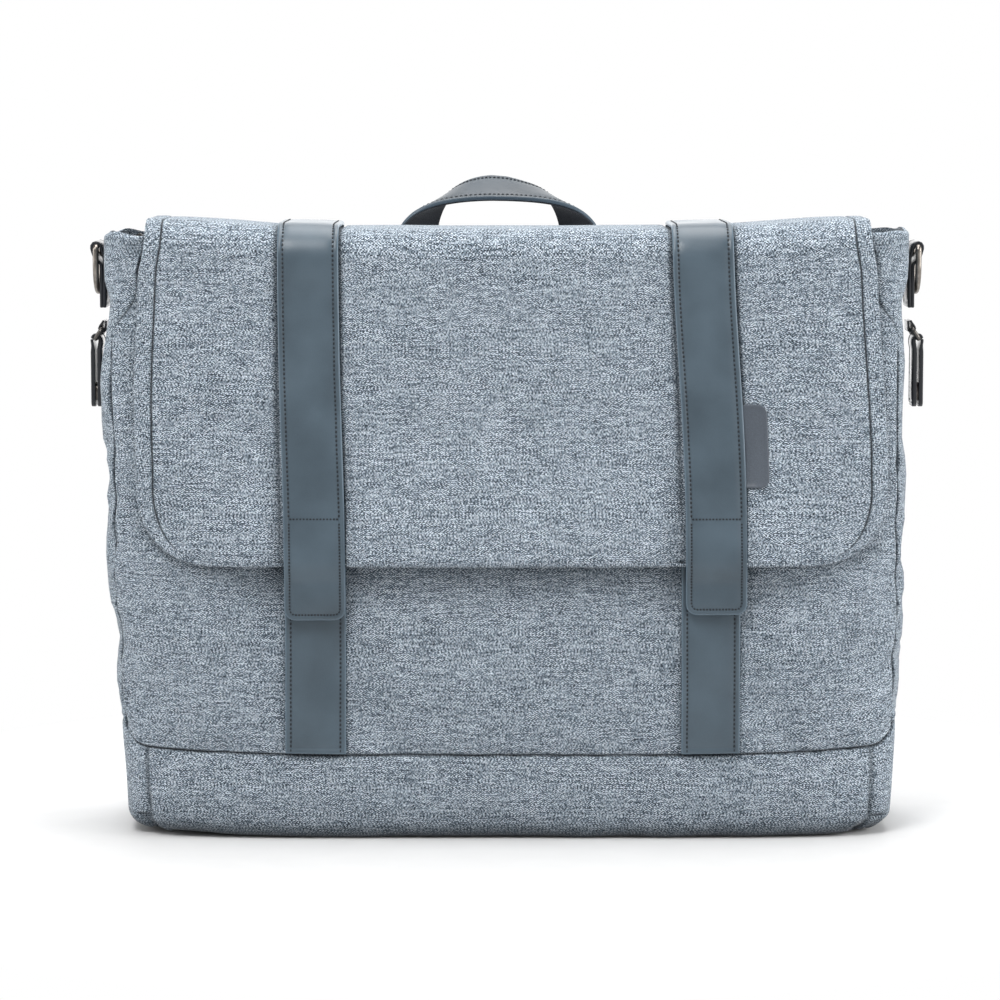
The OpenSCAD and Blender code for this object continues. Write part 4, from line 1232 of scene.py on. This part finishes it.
def lining():
    """The loose lining: a wall of thin cloth with soft upright folds."""
    angle, length = outline_length(150)
    along = np.linspace(0, length[-1], 420, endpoint=False)
    z, along = np.meshgrid(np.linspace(7.4, SHOULDER_Z - 1, 90), along, indexing="ij")
    theta = np.interp(along, length, angle)
    creases = 0.5 * lattice_noise(along, z * 0.35, 17, 61) + 0.3 * lattice_noise(along, z, 9, 62)
    depth = LINING_DEPTH - 0.5 - 0.9 * np.maximum(creases, -0.3) * smooth(z, 10, 40)
    outer, inner = (sculpt(wall_at(theta, z, depth + half)) for half in (0.25, -0.25))
    return closed_sheet("lining_wall", outer, inner, (along, z), SHOULDER_Z + 0.5 - z, loop=True)


def pocket(name, side, low, high, depth, thick):
    """A pocket's cloth on the lining, gathered towards its elastic top."""
    z, x = np.meshgrid(stations(low, high, 4.0), np.linspace(-150, 150, 260), indexing="ij")
    folds = np.sin(x * 2 * math.pi / 13 + 1.5 * lattice_noise(x, z, 40, 71))
    push = 0.7 * folds * smooth(z, low + 40, 168)
    from_edge = np.minimum(z - low, high - z)
    outer = bag_point(x, side * wall_s(z), depth + push - round_edge(from_edge, thick / 3))
    inner = bag_point(x, side * wall_s(z), depth - thick + push)
    return closed_sheet(name, outer, inner, (x, z), from_edge + 1)


def zip_end(name, side):
    """The fixed end of the zipped top, with the slot that the slider runs into."""
    lo, hi = node_box(name)
    near, reach = (lo[0], hi[0]) if side > 0 else (-hi[0], -lo[0])
    x_at = stations(near, reach, 3.0, fine=(0.3, 0.8, 1.6))[:, None]
    half = np.interp(x_at, [near, 185, reach], [31, 27, 27 if side > 0 else 21])
    start = np.where(x_at < reach - 5, 0.65, 0.0)
    share = np.concatenate([[0, 0.01, 0.03], np.linspace(0.07, 0.97, 14), [0.99, 1.0]])
    x, y = x_at + 0 * share, start + share * (half - start)
    bpy.ops.object.select_all(action="DESELECT")
    for k in (-1, 1):
        sag = 0.25 * lattice_noise(x, y * k, 15, 81) * smooth(y, 2, 8)
        top = np.stack([side * x, k * y, hi[2] - 0.2 + sag], -1)
        under = np.stack([side * x, k * y, lo[2] + 0.2 + sag], -1)
        part = closed_sheet(name + "_half", top, under, (x, y), half - y)
        part.select_set(True)
        bpy.context.view_layer.objects.active = part
    bpy.ops.object.join()
    part.name = name
    return part


CHAIN_EDGE = 9.2
COIL_PITCH, COIL_R, COIL_WIRE = 1.5, 0.85, 0.33


def zip_strip(name):
    """One of the cloth strips beside the zip's chain."""
    lo, hi = node_box(name)
    y_at = stations(lo[1], hi[1], 2.0, fine=(0.15, 0.4, 0.8, 1.4))
    y, x = np.meshgrid(y_at, stations(lo[0], hi[0], 4.0, fine=(0.3, 0.8, 1.6)), indexing="ij")
    from_edge = np.minimum(np.minimum(y - lo[1], hi[1] - y), np.minimum(x - lo[0], hi[0] - x))
    from_chain = np.abs(np.abs(y) - CHAIN_EDGE)
    sag = 0.35 * lattice_noise(x, y, 22, 82) * smooth(from_chain, 0, 8)
    top = hi[2] - round_edge(from_edge, 0.5) + sag - 0.5 * bell(from_chain - 2.4, 0.5)
    outer, inner = (np.stack([x, y, level], -1) for level in (top, lo[2] + sag))
    return closed_sheet(name, outer, inner, (x, y), from_chain)


def zip_teeth(name, side, half, z):
    """A coil of zip teeth along one edge of the zip."""
    turns = np.linspace(0, 2 * half / COIL_PITCH, int(2 * half / COIL_PITCH) * 9)
    angle = turns * 2 * math.pi
    y = side * (1.55 + COIL_R * np.cos(angle))
    centre = np.stack([-half + turns * COIL_PITCH, y, z + COIL_R * np.sin(angle)], -1)
    forward = unit(np.gradient(centre, axis=0))
    a = unit(np.cross(forward, [1.0, 0, 0]))
    return new_object(name, *tube(centre, a, np.cross(forward, a), COIL_WIRE, 5))


def zip_tape(name, side, half, z):
    y, x = np.meshgrid(np.linspace(2.2, 8.95, 8), np.linspace(-half, half, 80), indexing="ij")
    top, under = (np.stack([x, side * y, level + 0 * x], -1) for level in (z + 0.35, z - 0.35))
    return closed_sheet(name, top, under, (x, y))


# ---- build ----

def build_body():
    for name, side, make in (("front_panel", -1, wall_panel), ("back_panel", 1, wall_panel),
                             ("gusset_left", -1, gusset), ("gusset_right", 1, gusset)):
        finish_piece(make(name, side), TWILL, "bag", name)
    finish_piece(base_band(), TWILL, "bag", "base_band")
    base = plan_sheet("base_panel", BASE_HALF - FOOT_R + 1, BASE_DEPTH - FOOT_R + 1, 0.0, SHELL_T)
    finish_piece(base, TWILL, "bag", "base_panel")


def build_flap():
    main, back = (0.0, True), (0.0, ANCHOR_S, False)
    finish_piece(flap_cloth("flap_main", CORNER_S, *main), TWILL, CREASE, "flap_front", "flap_top")
    finish_piece(flap_cloth("flap_back", *back), TWILL, LIFT, "flap_anchor")
    finish_piece(flap_binding("flap_main_binding", CORNER_S, *main), TWILL_BIAS, CREASE,
                 "flap_front_binding", "flap_top_binding")
    for side, word in ((1, "right"), (-1, "left")):
        finish_piece(flap_binding("flap_back_binding_" + word, *back, side), TWILL_BIAS, LIFT)
    finish_piece(flap_lining("flap_main_lining", CORNER_S, *main), LINING, CREASE,
                 "flap_front_lining", "flap_top_lining")
    finish_piece(flap_lining("flap_back_lining", 0.0, ANCHOR_S - 1, False), LINING, LIFT)
    finish_piece(side_label(), LABEL, "flap_front", "side_label")


def build_inside():
    finish_piece(lining(), LINING, "bag", "lining")
    floor = plan_sheet("lining_floor", BASE_HALF - 6, BASE_DEPTH - 6, 6.5, 7.2, corner_lift=False)
    finish_piece(floor, LINING, "bag")
    strip_lo, strip_hi = node_box("zip_strip_front")
    half, z = node_box("zip_chain_front")[1][0], (strip_lo[2] + strip_hi[2]) / 2
    for side, word in ((-1, "front"), (1, "back")):
        finish_piece(pocket("pocket_" + word, side, 30, 168, -5.9, 0.8), POCKET, "bag", "pocket_" + word)
        elastic = pocket("pocket_elastic_" + word, side, 168.3, 177, -5.6, 1.6)
        finish_piece(elastic, ELASTIC, "bag", *(["pocket_elastic"] if side < 0 else []))
        rides = "zip_" + word
        finish_piece(zip_strip("zip_strip_" + word), TWILL, rides, "zip_strip_" + word)
        finish_piece(zip_teeth("zip_teeth_" + word, side, half, z), COIL, rides, "zip_chain_" + word)
        finish_piece(zip_tape("zip_tape_" + word, side, half, z), DARK_TAPE, rides)
    for side, word in ((-1, "left"), (1, "right")):
        finish_piece(zip_end("zip_end_" + word, side), DARK_TAPE, "bag", "zip_end_" + word)


def paint_hardware():
    """Worked materials on the hard parts, which keep their CAD shapes."""
    paints = {"zip_slider": DARK_METAL, "zip_pull": DARK_METAL, "base_board": BOARD}
    for word in ("_left", "_right"):
        paints["hanger_ring" + word] = DARK_METAL
        for name in ("d_ring", "hanger_snap", "snap_socket", "snap_stud"):
            paints[name + word] = GUNMETAL
    for name, material in paints.items():
        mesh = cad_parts[name].data
        mesh.materials.clear()
        mesh.materials.append(material)


# ---- stage ----

EYE = (-0.0038, -1.962, 0.3803)
EYE_DROP = 6.0
LENS = 131.4
SKY_LIGHT = 0.34
FLOOR_SIZE = 12
FLOOR_PLACE = (0, 2.0, 0)
FLOOR_SHADE = 0.62
FLOOR_FADE = (0.28, 0.42)
# Lamps: name, place, aim, size and power
LAMPS = [
    ("key", (-0.6, -1.15, 1.85), (0, 0, 0.15), 0.8, 28),
    ("top", (0.1, 0.25, 1.7), (0, 0, 0.3), 1.2, 25),
    ("back", (0.0, 1.8, 0.8), (0, 0, 0.35), 2.0, 26),
    ("fill", (1.5, -1.4, 0.8), (0, 0, 0.15), 1.4, 9),
    ("side_left", (-1.7, -0.3, 0.7), (0, 0, 0.2), 1.0, 11),
    ("side_right", (1.7, -0.3, 0.7), (0, 0, 0.2), 1.0, 20),
]


def add_object(name, data, place):
    obj = bpy.data.objects.new(name, data)
    obj.location = place
    bpy.context.scene.collection.objects.link(obj)
    return obj


def floor_paper():
    """Pale paper that fades to white away from the bag."""
    m = Material("floor_paper", roughness=0.9, specular=0.1)
    grain = m.noise(m.position(40.0), detail=3.0)
    paper = m.ramp(grain, (0.3, (FLOOR_SHADE,) * 3), (0.7, (1.03 * FLOOR_SHADE,) * 3))
    m.put(m.shader.inputs["Base Color"], paper)
    place = m.node("VectorMath", {0: m.node("TexCoord", out=3), 1: FLOOR_PLACE}, operation="ADD")
    away = m.node("VectorMath", {0: place}, out=1, operation="LENGTH")
    fade = m.node("MapRange", {0: away, 1: FLOOR_FADE[0], 2: FLOOR_FADE[1]})
    glow = m.node("Emission", {0: (1.0, 1.0, 1.0), 1: 1.0})
    both = m.node("MixShader", {0: fade, 1: m.shader.outputs[0], 2: glow})
    m.put(m.tree.nodes["Material Output"].inputs[0], both)
    return m.data


def stage():
    bpy.ops.mesh.primitive_plane_add(size=FLOOR_SIZE, location=FLOOR_PLACE)
    floor = bpy.context.object
    floor.name = "floor"
    floor.data.materials.append(floor_paper())

    # The sky lights the bag softly, and shows white behind it
    world = bpy.data.worlds.new("studio")
    world.use_nodes = True
    nodes, links = world.node_tree.nodes, world.node_tree.links
    level = nodes.new("ShaderNodeMapRange")
    level.inputs[3].default_value, level.inputs[4].default_value = SKY_LIGHT, 1.0
    links.new(nodes.new("ShaderNodeLightPath").outputs["Is Camera Ray"], level.inputs[0])
    links.new(level.outputs[0], nodes["Background"].inputs[1])
    nodes["Background"].inputs[0].default_value = (1, 1, 1, 1)
    bpy.context.scene.world = world

    for name, place, aim, size, power in LAMPS:
        data = bpy.data.lights.new(name, "AREA")
        data.shape, data.size, data.energy = "SQUARE", size, power
        lamp = add_object(name, data, place)
        lamp.visible_camera = False
        lamp.rotation_mode = "QUATERNION"
        lamp.rotation_quaternion = (Vector(aim) - Vector(place)).to_track_quat("-Z", "Y")

    data = bpy.data.cameras.new("camera")
    data.lens, data.sensor_width = LENS, 36
    eye = add_object("camera", data, EYE)
    eye.rotation_euler = (math.radians(90 - EYE_DROP), 0, 0)
    bpy.context.scene.camera = eye
    bpy.context.scene.view_settings.view_transform = "Standard"


build_body()
build_flap()
for side, word in ((-1, "left"), (1, "right")):
    flap_strap(side, word)
    lower_strap(side, word)
    ring_tab(side, word)
    hanger_keeper(side, word)
    hanger(side, word)
handle()
build_inside()
paint_hardware()
stage()
